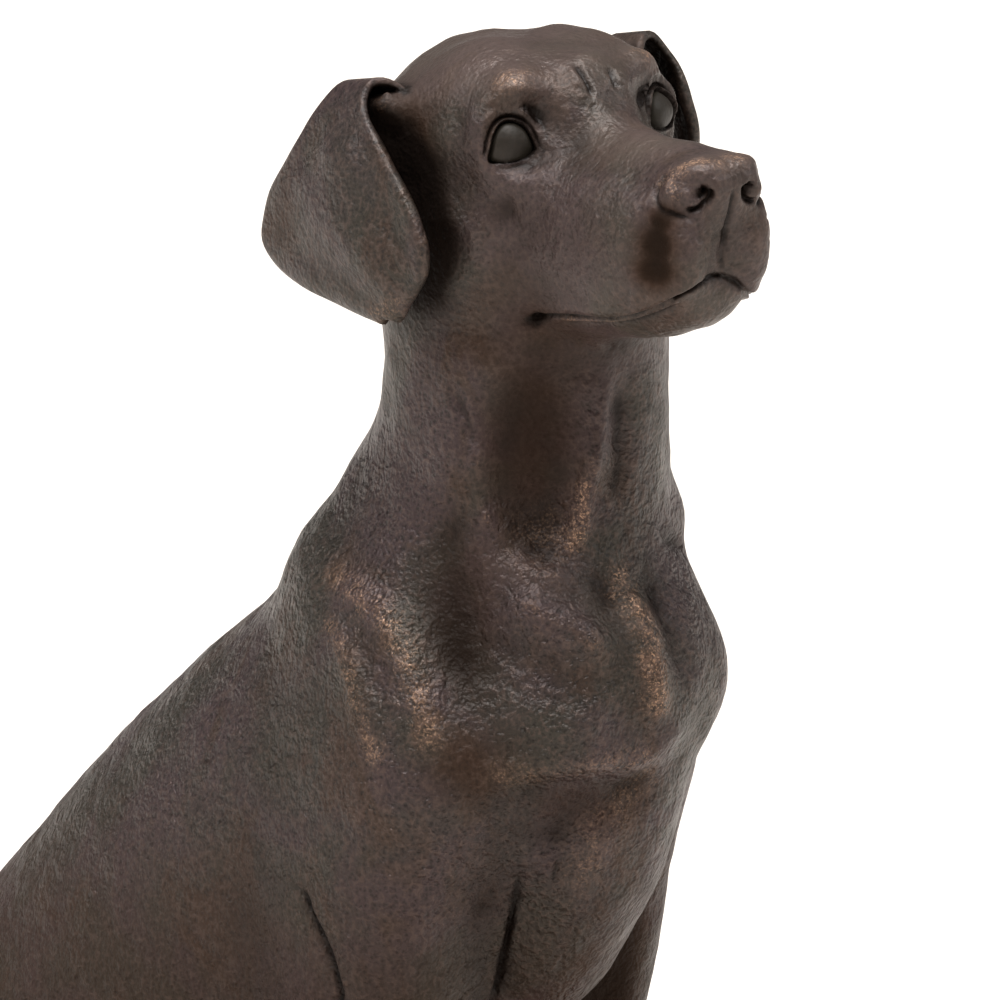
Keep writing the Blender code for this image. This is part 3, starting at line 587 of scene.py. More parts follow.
# The opening between the lids, as (forward, up) about the ball's middle
EYE_OPENING = (
    (1.02, -0.44), (0.88, 0.12), (0.66, 0.54), (0.34, 0.78), (0, 0.85), (-0.32, 0.73),
    (-0.6, 0.38), (-0.8, -0.12), (-0.93, -0.66), (-0.55, -0.8), (0, -0.86), (0.5, -0.78),
    (0.82, -0.62),
)
LID = 0.13

# The line between the lips, and on the far side, where the lip hangs lower
MOUTH = (
    (3, 1.42, -7.48), (2.9, -1.1, -7.36), (2.8, -2.9, -7.58), (2.7, -4.4, -7.69),
    (2.6, -6.04, -7.63), (2.4, -6.99, -7.42), (2, -7.6, -7.1), (1.3, -7.9, -6.83),
    (0.6, -7.9, -6.62), (0, -7.75, -6.55),
)
FAR_MOUTH = (
    *MOUTH[:3], (2.7, -4.4, -7.8), (2.5, -5.9, -7.95), (2.2, -6.8, -7.88), (1.7, -7.2, -7.75),
    (1.2, -7.5, -7.45), (0.6, -7.75, -7), MOUTH[-1],
)

# Cuts on both sides of the head, in its own frame and on the side of +X
# Brow over the eye, the socket's hollows and the cheek below
SOCKET_CUTS = (
    ((3.2, -0.3, 2.4), (1.1, 1.1, 0.7), 0.26), ((2.8, -1.3, 0.7), (0.7, 0.9, 0.9), -0.42),
    ((2.3, -1.9, -0.6), (0.8, 1, 0.8), -0.16), ((3.8, -0.5, 1.3), (1, 1, 0.42), -0.34),
    ((4.8, 1.7, 0.3), (0.6, 0.6, 0.9), -0.14), ((4.2, 0.2, -2.9), (1.2, 1.4, 1), -0.09),
    (((4.4, 0.6, -0.45), (4.7, 1.2, -0.85), (4.8, 1.6, -1.1)), 0.12, 0.16, 0.2),
    (((4.44, 0.52, -2), (4.2, 0.52, -2.8), (3.9, 0.4, -3.6)), 0.4, 0.05, 0.3),
    ((3.5, -0.7, -0.1), (1.5, 1.6, 1.25), -0.42),
    (((2.6, -1.35, 0.2), (3, -1.1, 1), (3.6, -0.6, 1.35)), 0.35, 0.16, 0.3),
)
# The swelling before the nose, which is higher on the far side
BRIDGE_RADII = (1.0, 1.7, 0.8)
BRIDGE_HEIGHT = {-1: 0.14, 1: 0.30}
# Upper lip beside the nose, with the hollow between them, and the line behind its wing
NOSE_CUTS = (
    ((3, -4.6, -6.2), (1.4, 2, 1.3), 0.16), ((1.4, -8.2, -5.6), (1, 0.9, 1.2), 0.12),
    ((2.6, -6.95, -5), (0.85, 1.05, 1.55), -0.5, 1.5),
    (((2.05, -7.5, -1.9), (2.2, -7.3, -2.3), (2.25, -7.1, -2.8), (2.15, -7.2, -3.4),
     (1.9, -7.83, -3.82), (1.4, -8.45, -3.98)), 0.15, 0.2, 0.15),
)
# The nostril and the tail that curls under the wing; both lie a little to the side
NOSTRIL_CUTS = (
    ((1.12, -9.05, -3.08), (0.25, 0.6, 0.29), -0.75),
    (((0.86, -9.25, -2.95), (0.84, -9.25, -3.35), (1, -9.1, -3.65), (1.35, -8.8, -3.76),
     (1.75, -8.35, -3.62)), 0.12, 0.3, 0.15),
    ((1.5, -8.75, -3.2), (0.3, 0.5, 0.34), 0.18),
)
NOSTRIL_SHIFT = (-0.28, 0.0, 0.0)
WING_CUTS = (
    ((2, -7.85, -2.8), (0.35, 0.5, 0.6), 0.12),
    (((2.1, -7.6, -2), (1.9, -8.5, -2.05), (1.3, -9.1, -1.88), (0.5, -9.4, -1.75),
     (0, -9.4, -1.72)), 0.35, -0.12, 0.1),
)
# Lines along the mouth: first and last point, rise, width, depth and fade
LIP_LINES = (
    (0, 10, 0, 0.1, 0.15, 0), (4, 10, 0, 0.1, 0.12, 0.1), (0, 8, 0.4, 0.3, -0.14, 0.15),
    (0, 7, -0.3, 0.18, -0.15, 0.2), (0, 7, -0.72, 0.22, 0.16, 0.2),
)
# The pit at the mouth's corner and the whisker lines
CORNER_CUTS = (
    ((3.05, 1.2, -7.5), (0.42, 0.5, 0.26), -0.5),
    (((2, -8, -4.5), (2.4, -7.4, -4.8)), 0.08, 0.06, 0.3),
    (((1.9, -8.2, -5.1), (2.4, -7.6, -5.5)), 0.08, 0.06, 0.3),
    (((2.7, -7, -6.2), (3, -5.8, -6.5)), 0.08, 0.06, 0.3),
)
# The groove under the nose and the brow's wrinkles
MIDDLE_CUTS = (
    (((0, -9.3, -3), (0, -9, -3.9), (0, -8.7, -4.5), (0, -8.3, -5.4), (0, -7.9, -6.5)), 0.12, 0.16,
     0.15),
    (((-0.68, -0.56, 2.65), (-0.7, -1.16, 2.12), (-0.69, -1.6, 1.44), (-0.76, -1.65, 0.88)), 0.13,
     0.21, 0.3),
    (((-1, -0.56, 2.65), (-1.05, -1.16, 2.12), (-1, -1.6, 1.44)), 0.25, -0.08, 0.3),
    (((0.75, -1.05, 2.25), (0.7, -1.4, 1.7), (0.6, -1.6, 1.03)), 0.15, 0.26, 0.3),
    (((1.2, -1, 2.1), (1.1, -1.5, 1.2)), 0.3, -0.08, 0.3),
    (((0, -0.6, 2.7), (0, -1.6, 1.4), (0, -2.4, 0.4)), 0.5, 0.12, 0.3),
)
# The left eye's outer corner stands out
LEFT_CORNER = ((4.6, 0.3, 0.15), (0.45, 0.55, 0.9), 0.28)


def outline_distance(across, high, outline):
    """Signed distance to a closed outline in a plane, negative inside."""
    corners = smooth_path([*outline, outline[0]], OUTLINE_STEPS)
    nearest = np.full(len(across), np.inf)
    crossings = np.zeros(len(across), int)
    for (x0, y0), (x1, y1) in zip(corners[:-1], corners[1:]):
        dx, dy = x1 - x0, y1 - y0
        share = np.clip(((across - x0) * dx + (high - y0) * dy) / (dx * dx + dy * dy), 0, 1)
        nearest = np.minimum(nearest, np.hypot(across - x0 - share * dx,
                                               high - y0 - share * dy))
        if y0 != y1:
            span = (high > min(y0, y1)) & (high <= max(y0, y1))
            crossings += span & (across < x0 + (high - y0) * dx / dy)
    return np.where(crossings % 2 == 1, -nearest, nearest)


def eye_view(points, side):
    """How far points lie ahead of, above and out from an eye's middle, and the way out."""
    out = EYE_GAZE / np.linalg.norm(EYE_GAZE) * (side, 1, 1)
    up = np.array((0, 0, 1.0)) - out * out[2]
    up /= np.linalg.norm(up)
    forward = np.cross(up, out) * side
    forward = forward if forward[1] < 0 else -forward
    local = points - EYE_CENTRES[side]
    return local @ forward, local @ up, local @ out, out


def eye_carving(skin, side):
    """An eyeball between two thin rolled lids, with the crease that runs over them."""
    across, high, front, out = eye_view(skin.points, side)
    close = np.flatnonzero((np.hypot(across, high) < 3.2) & (front > -0.6))
    across, high, front = across[close], high[close], front[close]
    edge = outline_distance(across, high, EYE_OPENING)
    flat = across ** 2 + high ** 2
    ball = np.sqrt(np.maximum(EYE_RADIUS ** 2 - flat, 0.02))
    lid = np.sqrt((EYE_RADIUS + LID) ** 2 - np.minimum(flat, (EYE_RADIUS + LID) ** 2 * 0.50))
    above = eased((high + 0.7) / 0.5)
    rim = 0.02 * np.exp(-((edge - 0.08) / 0.06) ** 2) * above - 0.05 * (1 - above)
    crease = -0.14 * np.exp(-((edge - 0.19) / 0.055) ** 2) * above
    inside = eased(0.5 - edge / 0.07)
    sunk = -0.24 * np.exp(-((edge + 0.02) / 0.08) ** 2) * (0.45 + 0.55 * above)
    wanted = (ball + sunk) * inside + (lid + rim) * (1 - inside)
    hold = 1 - eased((edge - 0.08) / (0.95 - 0.40 * above))
    shift = (wanted - front) * hold + crease * (edge > 0)
    skin.points[close] += out * shift[:, None]


def head_carving(skin):
    """Sockets, brows, nose, lips and cheeks, in the head's frame."""
    for side in (-1, 1):
        skin.carve(SOCKET_CUTS, side)
        skin.swell((side, -6.6, -1.6), BRIDGE_RADII, BRIDGE_HEIGHT[side])
        skin.carve(NOSE_CUTS, side)
        skin.carve(NOSTRIL_CUTS, side, NOSTRIL_SHIFT)
        skin.carve(WING_CUTS, side)
        mouth = np.array(MOUTH if side < 0 else FAR_MOUTH) * (side, 1, 1)
        for first, last, rise, *cut in LIP_LINES:
            skin.furrow(mouth[first:last] + (0, 0, rise), *cut)
        skin.carve(CORNER_CUTS, side)
    skin.carve(MIDDLE_CUTS)
    for side in (-1, 1):
        eye_carving(skin, side)
    skin.swell(*LEFT_CORNER)


# The line along which both ears grow from the skull
EAR_ROOT = ((5.0, 4.6, 2.0), (5.0, 8.6, 2.0))


def with_ears(mesh):
    """The skin joined to both ears in one, with the joint evened out."""
    dog = placed("dog", mesh)
    pair = (ear(-1, RIGHT_EAR), ear(1, LEFT_EAR))
    ears = joined("ears", [(moved(points, HEAD), faces) for points, faces in pair])
    union = dog.modifiers.new("Ears", "BOOLEAN")
    union.operation = "UNION"
    union.object = ears
    union.solver = "MANIFOLD"
    result = evaluated_mesh(dog)
    bpy.data.objects.remove(ears)
    result.materials.clear()
    points, edges = mesh_arrays(result)
    joint = to_path(mirrored(in_head(points)), EAR_ROOT)[0]
    set_points(result, relaxed(points, edges, JOINT_ROUNDS, eased((1.1 - joint) / 0.6)))
    return result


def refine(mesh):
    """Split the faces whose corners all lie where finer carving comes."""
    work = bmesh.new()
    work.from_mesh(mesh)
    bmesh.ops.triangulate(work, faces=work.faces)
    for level in range(FINE_LEVELS):
        chosen = fine_places(np.array([vert.co[:] for vert in work.verts]), level)
        work.verts.index_update()
        edges = [edge for edge in work.edges
                 if chosen[edge.verts[0].index] and chosen[edge.verts[1].index]]
        bmesh.ops.subdivide_edges(work, edges=edges, cuts=1, use_grid_fill=True)
        bmesh.ops.triangulate(work, faces=[face for face in work.faces if len(face.verts) > 3])
    work.to_mesh(mesh)
    work.free()


def in_head(points):
    return moved(points, HEAD.inverted())


def fine_places(points, level):
    """Where the skin is split once, twice and three times."""
    local = in_head(points)
    folded = mirrored(local)
    eye = np.linalg.norm(folded - (3.9, -0.2, 0.0), axis=1)
    nose = np.linalg.norm(folded - (0.9, -8.4, -3.3), axis=1)
    lips = to_path(folded, MOUTH)[0]
    sharp = np.min([to_path(mirrored(points), line)[0]
                    for line in (LEG_LINE, ELBOW_LINE, NECK_LINE, SCRATCH, *toe_gaps())], axis=0)
    if level == 0:
        face = (local[:, 2] > -9.2) & (local[:, 1] < 4.5) & (points[:, 2] > 62)
        breast = np.linalg.norm((points - (-2.8, -6.0, 52.0)) / (4.6, 4.0, 9.5), axis=1) < 1
        return face | breast | (sharp < 1.0)
    if level == 1:
        brow = np.linalg.norm((local - (0, -1.2, 1.8)) / (1.4, 1.6, 1.6), axis=1) < 1
        return (eye < 2.1) | (nose < 2.2) | (lips < 0.75) | brow | (sharp < 0.5)
    return (eye < 1.55) | (nose < 1.55) | (lips < 0.26) | (sharp < 0.16)


def uneven(points, normals):
    """The skin with the faint unevenness of a form modelled by hand."""
    height = np.zeros(len(points))
    for amount, size in UNEVENNESS:
        height += amount * np.array([noise.noise(Vector(spot) / size) for spot in points])
    return points + normals * height[:, None]


def filled(mesh, rounds, weight):
    """Let the creases between masses fill up, while the swellings keep their size."""
    points, edges = mesh_arrays(mesh)
    web = Web(edges, len(points))
    for _ in range(rounds):
        set_points(mesh, points)
        normals = mesh_normals(mesh)
        pull = web.pull(points)
        out = (pull * normals).sum(axis=1)
        slide = pull - normals * out[:, None]
        rise = np.where(out > 0, 0.9, 0.2) * out * weight
        points = points + normals * rise[:, None] + slide * 0.4
    set_points(mesh, points)


def fill_weight(points, local):
    """Full on the trunk, little on the feet, and less in the face and about the ears."""
    weight = 0.15 + 0.85 * eased((points[:, 2] - 5) / 6)
    between_legs = eased((44.5 - points[:, 2]) / 4) * eased((3 - points[:, 1]) / 3)
    weight = weight * (1 - 0.6 * between_legs * eased((7.5 - np.abs(points[:, 0])) / 2))
    skull = np.linalg.norm((local - (0, 0, -2.5)) / (9.5, 14, 8.5), axis=1)
    return weight * (0.12 + 0.88 * eased((skull - 0.9) / 0.3))


# The skin's unevenness, as heights and sizes
UNEVENNESS = ((0.09, 2.4), (0.06, 1.1))
FLAT_BELOW = 0.04


def dog_mesh():
    mesh = fused(masses())
    points, edges = mesh_arrays(mesh)
    local = in_head(points)
    in_face = eased(1.6 - np.linalg.norm(local - (0, -3, -3), axis=1) / 8.0)
    points = relaxed(points, edges, ROUNDS, 1.0 - 0.6 * in_face)
    set_points(mesh, points)
    filled(mesh, FILL_ROUNDS, fill_weight(points, local))
    refine(mesh)
    points, edges = mesh_arrays(mesh)
    near = fine_places(points, 0).astype(float)
    set_points(mesh, relaxed(points, edges, FINE_ROUNDS, near))
    for carving, of_head in ((body_carving, False), (head_carving, True)):
        skin = Carver(mesh, of_head)
        carving(skin)
        skin.done()
    mesh = with_ears(mesh)
    points, _ = mesh_arrays(mesh)
    calm = 1.0 - 0.8 * fine_places(points, 2)
    beside_skull = eased((np.abs(in_head(points)[:, 0]) - 5.2) / 0.6)
    calm *= 1 - 0.85 * beside_skull * (points[:, 2] > 60)
    shaken = uneven(points, mesh_normals(mesh))
    points = points + (shaken - points) * calm[:, None]
    # The feet and the seat are flat where they stand on the base
    points[points[:, 2] < FLAT_BELOW, 2] = 0.0
    set_points(mesh, points)
    return mesh


# Places where the patina is rubbed through, as a path, a width and a strength: on the body,
# on both of its sides, and on the head, where the brows' rubs are partly and the lower lip's
# rub wholly a painted highlight
BODY_RUBS = (
    (((-6.8, 3.2, 52.4), (-7.4, 1.7, 52), (-7.8, -0.6, 51.1), (-8.4, -2.4, 49), (-8.4, -3.2, 47)),
     0.5, 0.5),
    (((-7.9, 2.6, 50.6), (-8.7, 1.1, 49.5), (-9.1, 0.4, 48.3), (-9.4, -1.1, 45.9)), 0.32, 0.5),
    (((-1.1, -7.2, 52.5), (-1, -8.1, 51.2), (-1.1, -8.7, 49.8), (-0.9, -8.9, 47.9)), 0.55, 1),
    (((-4.3, -5.2, 55), (-3.4, -5.7, 54.9)), 0.9, 0.3),
    (((-2.4, -6.4, 56.6), (-2.6, -6.2, 54.9), (-2.9, -6.1, 54.2)), 0.36, 0.7),
    (((-4.4, -5.5, 54.2), (-3.4, -6, 54.4)), 0.6, 0.35),
    (((-6.4, -5.3, 45.3), (-3.5, -8.1, 45.7), (-1.2, -8.6, 45.6)), 0.5, 0.3),
    (((7.6, 1, 51.6), (8.3, -2.3, 49.2), (8.4, -3.2, 47)), 0.6, 0.8),
    (((-2.8, -6.6, 40.8), (-2.2, -6.8, 42.5), (-0.6, -8.2, 44.4)), 0.8, 0.22),
    (((0, 10, 48.5), (0, 22, 36), (0, 33, 25)), 1, 0.3),
    (((6, 44.4, 3.2), (12.6, 40.6, 3), (16.4, 33, 2.6)), 0.8, 0.45),
)
PAIRED_RUBS = (
    (((13.6, 9.4, 21), (14.6, 14, 19)), 1.4, 0.5),
    (((5.4, -8.6, 2.6), (5.4, -6.4, 4.6)), 1.8, 0.6),
    (((11.2, 5, 2.8), (11.2, 7.2, 4.4)), 1.8, 0.6),
    (((5.2, -2.4, 15), (5.2, -1.2, 24)), 0.7, 0.35),
)
HEAD_RUBS_AND_HIGHLIGHTS = (
    # On both brows the rubbed colour is partly a painted highlight
    (((-3.2, -0.4, 2.5), (-3.6, 0, 2.4)), 0.5, 0.6), (((3.2, -0.4, 2.5), (3.6, 0, 2.4)), 0.5, 0.5),
    (((-2.1, -7.4, -2.2), (-1.5, -8.3, -1.95), (-0.5, -8.9, -1.9)), 0.36, 0.9),
    (((2.1, -7.4, -2.2), (1.5, -8.3, -1.95), (0.5, -8.9, -1.9)), 0.36, 0.8),
    (((-2, -8, -2.6), (-1.9, -8.1, -3)), 0.28, 0.6),
    (((-7.5, 4.4, -6), (-7.6, 5.6, -6.5)), 0.5, 0.25),
    # Along the lower lip this is a painted highlight on a lit ledge
    (((-2.9, -0.6, -7.7), (-2.8, -2.9, -7.9), (-2.7, -4.4, -8)), 0.2, 0.4),
)
# Places painted brown, as a centre, radii and a strength: partly brown patina and partly
# painted shade, in the gaps beside the ears, behind the nose's wings, at a corner of the mouth,
# under the jaw, in the neck's hollow, under the breast and on the far foreleg
HEAD_BROWNS_AND_SHADE = (
    ((-2.3, -7.45, -4), (0.8, 0.95, 0.9), 1), ((-2.6, -7.15, -4.9), (0.95, 1.25, 1.1), 1),
    ((-2.75, -6.95, -5.85), (1, 1.3, 1), 1), ((2.6, -6.9, -5), (0.95, 1, 1.9), 1),
    ((-3.4, 4, -8.4), (2.5, 4, 1.2), 0.6), ((-5.4, 4.6, -1.5), (0.9, 1.8, 4.5), 1),
    ((5.4, 3.6, -1.5), (0.9, 1.8, 4.5), 1), ((-3.05, 1.2, -7.55), (0.4, 0.45, 0.24), 1),
)
BODY_BROWNS_AND_SHADE = (
    ((-7.4, -4.6, 45.6), (2.3, 2.3, 1.9), 0.62), ((-3.4, -7.2, 43.6), (3.4, 2, 1.4), 0.6),
    ((-4, -5, 58.5), (2.1, 2.5, 4.9), 0.85), ((-3.6, -5.2, 62.5), (2.6, 2.6, 4), 0.6),
    ((-9.6, 0, 50), (1.4, 1.4, 4), 0.3), ((-6.2, -3.1, 51.8), (1.4, 1.9, 4.6), 0.62),
    ((-5, -3.6, 36.5), (1.6, 1.6, 5), 0.4), ((4, -2.4, 34), (3, 4.5, 9), 1),
    ((7.6, -4.2, 45.4), (1.9, 1.9, 1.9), 0.62),
)
# Places of painted light where light from above falls, on the muzzle's top, the nose and the
# brow, in the head's frame, and the lit slope of the breast
HEAD_PAINTED_LIGHTS = (
    ((-0.6, -3.6, -0.9), (2, 4.4, 1.6), 1), ((0, -8.6, -1.9), (2.4, 1.6, 0.8), 0.9),
    ((-1, -0.6, 1.9), (3.4, 2, 1.6), 0.5),
)
LIT_SLOPE = ((-5.0, -4.3, 53.7), (-3.2, -6.7, 52.0), (-1.9, -7.7, 51.2))
# The face lies within this distance of its middle and fades out over the fade
FACE_MIDDLE = (0, -4, -3)
FACE_REACH = 11
FACE_FADE = 5
# Recesses are found against the skin evened out so many times
HOLLOW_ROUNDS = 14
VALLEY_ROUNDS = 30
# Shade is found with rays that start a little above the skin
SHADE_RAYS = 10
SHADE_REACH = 7.0
RAY_LIFT = 0.06


def rub_and_highlight_shares(points, local):
    wear_and_highlight = np.zeros(len(points))
    for rubs, spots in ((BODY_RUBS, points), (PAIRED_RUBS, mirrored(points)),
                        (HEAD_RUBS_AND_HIGHLIGHTS, local)):
        for path, width, strength in rubs:
            reach = to_path(spots, path)[0]
            wear_and_highlight = np.maximum(wear_and_highlight, strength * np.exp(-(reach / width) ** 2))
    return wear_and_highlight


def place_shares(points, places, steep):
    share = np.zeros(len(points))
    for centre, radii, strength in places:
        far = spread(points, centre, radii)
        share = np.maximum(share, strength * np.exp(-far ** steep))
    return share


def brown_and_shade_shares(points, local):
    """Brown, partly patina and partly painted shade, in places and less so all over the lower
    body.
    """
    low = 0.55 * eased((44 - points[:, 2]) / 10)
    brown = np.maximum(place_shares(points, BODY_BROWNS_AND_SHADE, 1.6),
                       place_shares(local, HEAD_BROWNS_AND_SHADE, 1.6))
    return np.maximum(brown, low)


def face_share(local):
    """The face from the nose back, which ends softly before the ears."""
    return eased((FACE_REACH - np.linalg.norm(local - FACE_MIDDLE, axis=1)) / FACE_FADE)


def painted_light_shares(points, local):
    """Painted light: the crown, the muzzle's top, the nose and the breast's slope are lighter
    where light falls on them, and the face is a little lighter.
    """
    pale = 0.9 * eased((local[:, 2] - 0.8) / 2.0) * (points[:, 2] > 60)
    pale = np.maximum(pale, place_shares(local, HEAD_PAINTED_LIGHTS, 1.5))
    slope = to_path(points, LIT_SLOPE)[0]
    pale = np.maximum(pale, 0.5 * np.exp(-(slope / 0.8) ** 2))
    return np.maximum(pale, 0.3 * face_share(local))


def hollow_shares(mesh, rounds, by_step):
    """How much each point lies in a recess, positive, or on an edge, negative.

    It is counted in the skin's own steps, or else in the units of the whole dog.
    """
    points, edges = mesh_arrays(mesh)
    web = Web(edges, len(points))
    depth = ((web.calmed(points, rounds, 0.6) - points) * mesh_normals(mesh)).sum(axis=1)
    size = np.linalg.norm(points[edges[:, 0]] - points[edges[:, 1]], axis=1)
    step = np.bincount(web.ends[:, 0], np.tile(size, 2), web.count) / web.near[:, 0]
    hollow = (depth / step if by_step else depth)[:, None]
    return web.calmed(hollow, 2, 0.5)[:, 0]


def shade_shares(mesh, rays, reach):
    """How much of its surroundings each point has hidden from it by the dog itself."""
    points, edges = mesh_arrays(mesh)
    normals = mesh_normals(mesh)
    skin = search_tree(points, mesh)
    # The rays go out evenly over the half of the sky that each point faces
    turns = np.arange(rays) * math.pi * (3 - math.sqrt(5))
    lifts = np.sqrt((np.arange(rays) + 0.5) / rays)
    flat = np.sqrt(1 - lifts ** 2)
    aims = np.column_stack([np.cos(turns) * flat, np.sin(turns) * flat, lifts])
    side = np.cross(normals, np.where(np.abs(normals[:, [2]]) < 0.9, (0, 0, 1), (1, 0, 0)))
    side /= np.linalg.norm(side, axis=1, keepdims=True)
    other = np.cross(normals, side)
    starts = points + normals * RAY_LIFT
    hidden = np.zeros(len(points))
    for aim in aims:
        ways = side * aim[0] + other * aim[1] + normals * aim[2]
        for i, (start, way) in enumerate(zip(starts.tolist(), ways.tolist())):
            distance = skin.ray_cast(start, way, reach)[3]
            if distance is not None:
                hidden[i] += 1 - 0.5 * distance / reach
    return Web(edges, len(points)).calmed((hidden / rays)[:, None], 4, 0.6)[:, 0]


def eye_shares(local):
    """Where the eyeballs show between the lids."""
    seen = np.zeros(len(local))
    for side in (-1, 1):
        across, high, front, _ = eye_view(local, side)
        edge = outline_distance(across, high, EYE_OPENING)
        seen = np.maximum(seen, eased(-edge / 0.12) * (front > 0.4))
    return seen


# ---- Materials ----

# Colours as they show on a screen: the patina's own, its bare metal's and the eyes', and
# painted ones: a pale colour for painted light, a brown that is partly patina and partly painted
# shade, very dark colours for painted shade in gaps, valleys and places that the dog hides from
# the light, and a dark colour that darkens small recesses
SHOWN = {"violet": (60, 47, 47), "green": (49, 44, 37), "brown": (57, 42, 33),
         "light": (98, 82, 75), "dark": (30, 24, 21), "copper": (196, 158, 130),
         "pale": (104, 88, 80), "brown_and_shade": (50, 32, 20), "deep_shade_and_brown": (28, 19, 13),
         "valley": (32, 23, 17), "shade": (20, 14, 11), "recess": (22, 16, 13),
         "rubbed": (142, 112, 93), "eye": (38, 35, 30)}
# Its patterns: about how many waves in a metre, levels of detail, roughness and warp
FINE = {"cloud": (26, 3, 0.55, 0.4), "drift": (48, 3, 0.6, 0.6), "gloss": (90, 3, 0.6, 0),
        "dent": (210, 2, 0.55, 0.5), "fleck": (260, 3, 0.6, 0), "stroke": (560, 2, 0.6, 0),
        "grain": (1300, 2, 0.6, 0), "spark": (1500, 2, 0.6, 0)}
PITS = 760
DRIFT_STRETCH = (1, 1, 0.6)
STROKE_STRETCH = (1, 1, 0.75)
STROKE_TURN = (14, 8, 0)
# How deep the strokes and the dents lie, in metres
STROKE_DEPTH = 0.0011
DENT_DEPTH = 0.0017


class Nodes:
    """A short hand for building a material's node tree."""

    def __init__(self, name):
        self.material = bpy.data.materials.new(name)
        self.material.use_nodes = True
        self.tree = self.material.node_tree
        self.shader = self.tree.nodes["Principled BSDF"]

    def put(self, socket, value):
        if isinstance(value, bpy.types.NodeSocket):
            self.tree.links.new(value, socket)
        else:
            socket.default_value = value

    def node(self, kind, output, inputs, **settings):
        """Make a node with its inputs and settings, and give what comes out of it."""
        made = self.tree.nodes.new(kind)
        for key, value in settings.items():
            setattr(made, key, value)
        for key, value in inputs.items():
            self.put(made.inputs[key], value)
        return made.outputs[output]

    def math(self, operation, first, second):
        return self.node("ShaderNodeMath", 0, {0: first, 1: second}, operation=operation)

    def times(self, first, second):
        return self.math("MULTIPLY", first, second)

    def plus(self, first, second):
        return self.math("ADD", first, second)

    def most(self, first, second):
        return self.math("MAXIMUM", first, second)

    def span(self, value, low, high, start=0.0, end=1.0):
        inputs = {"Value": value, "From Min": low, "From Max": high, "To Min": start,
                  "To Max": end}
        return self.node("ShaderNodeMapRange", "Result", inputs, interpolation_type="SMOOTHSTEP")

    def painted(self, colour, *layers):
        """A colour under layers, each a share of a colour that is given by its name."""
        for share, name in layers:
            inputs = {"Factor": share, 6: colour, 7: shown(name)}
            colour = self.node("ShaderNodeMix", 2, inputs, data_type="RGBA")
        return colour

    def noise(self, place, name):
        inputs = dict(zip(("Scale", "Detail", "Roughness", "Distortion"), FINE[name]))
        return self.node("ShaderNodeTexNoise", "Fac", {"Vector": place, **inputs})

    def cells(self, place, scale):
        inputs = {"Vector": place, "Scale": scale}
        return self.node("ShaderNodeTexVoronoi", "Distance", inputs, feature="F1")

    def stretched(self, place, turn, scale):
        turn = [math.radians(angle) for angle in turn]
        inputs = {"Vector": place, "Rotation": turn, "Scale": scale}
        return self.node("ShaderNodeMapping", "Vector", inputs)

    def share(self, name):
        return self.node("ShaderNodeAttribute", "Fac", {}, attribute_name=name)

    def bump(self, height, depth, strength, below=None):
        inputs = {"Distance": depth, "Strength": strength, "Height": height}
        if below is not None:
            inputs["Normal"] = below
        return self.node("ShaderNodeBump", "Normal", inputs)


def shown(name):
    """A colour as it shows on a screen, turned to the values that light works with."""
    values = [value / 255 for value in SHOWN[name]]
    return (*[value / 12.92 if value <= 0.04045 else ((value + 0.055) / 1.055) ** 2.4
              for value in values], 1)


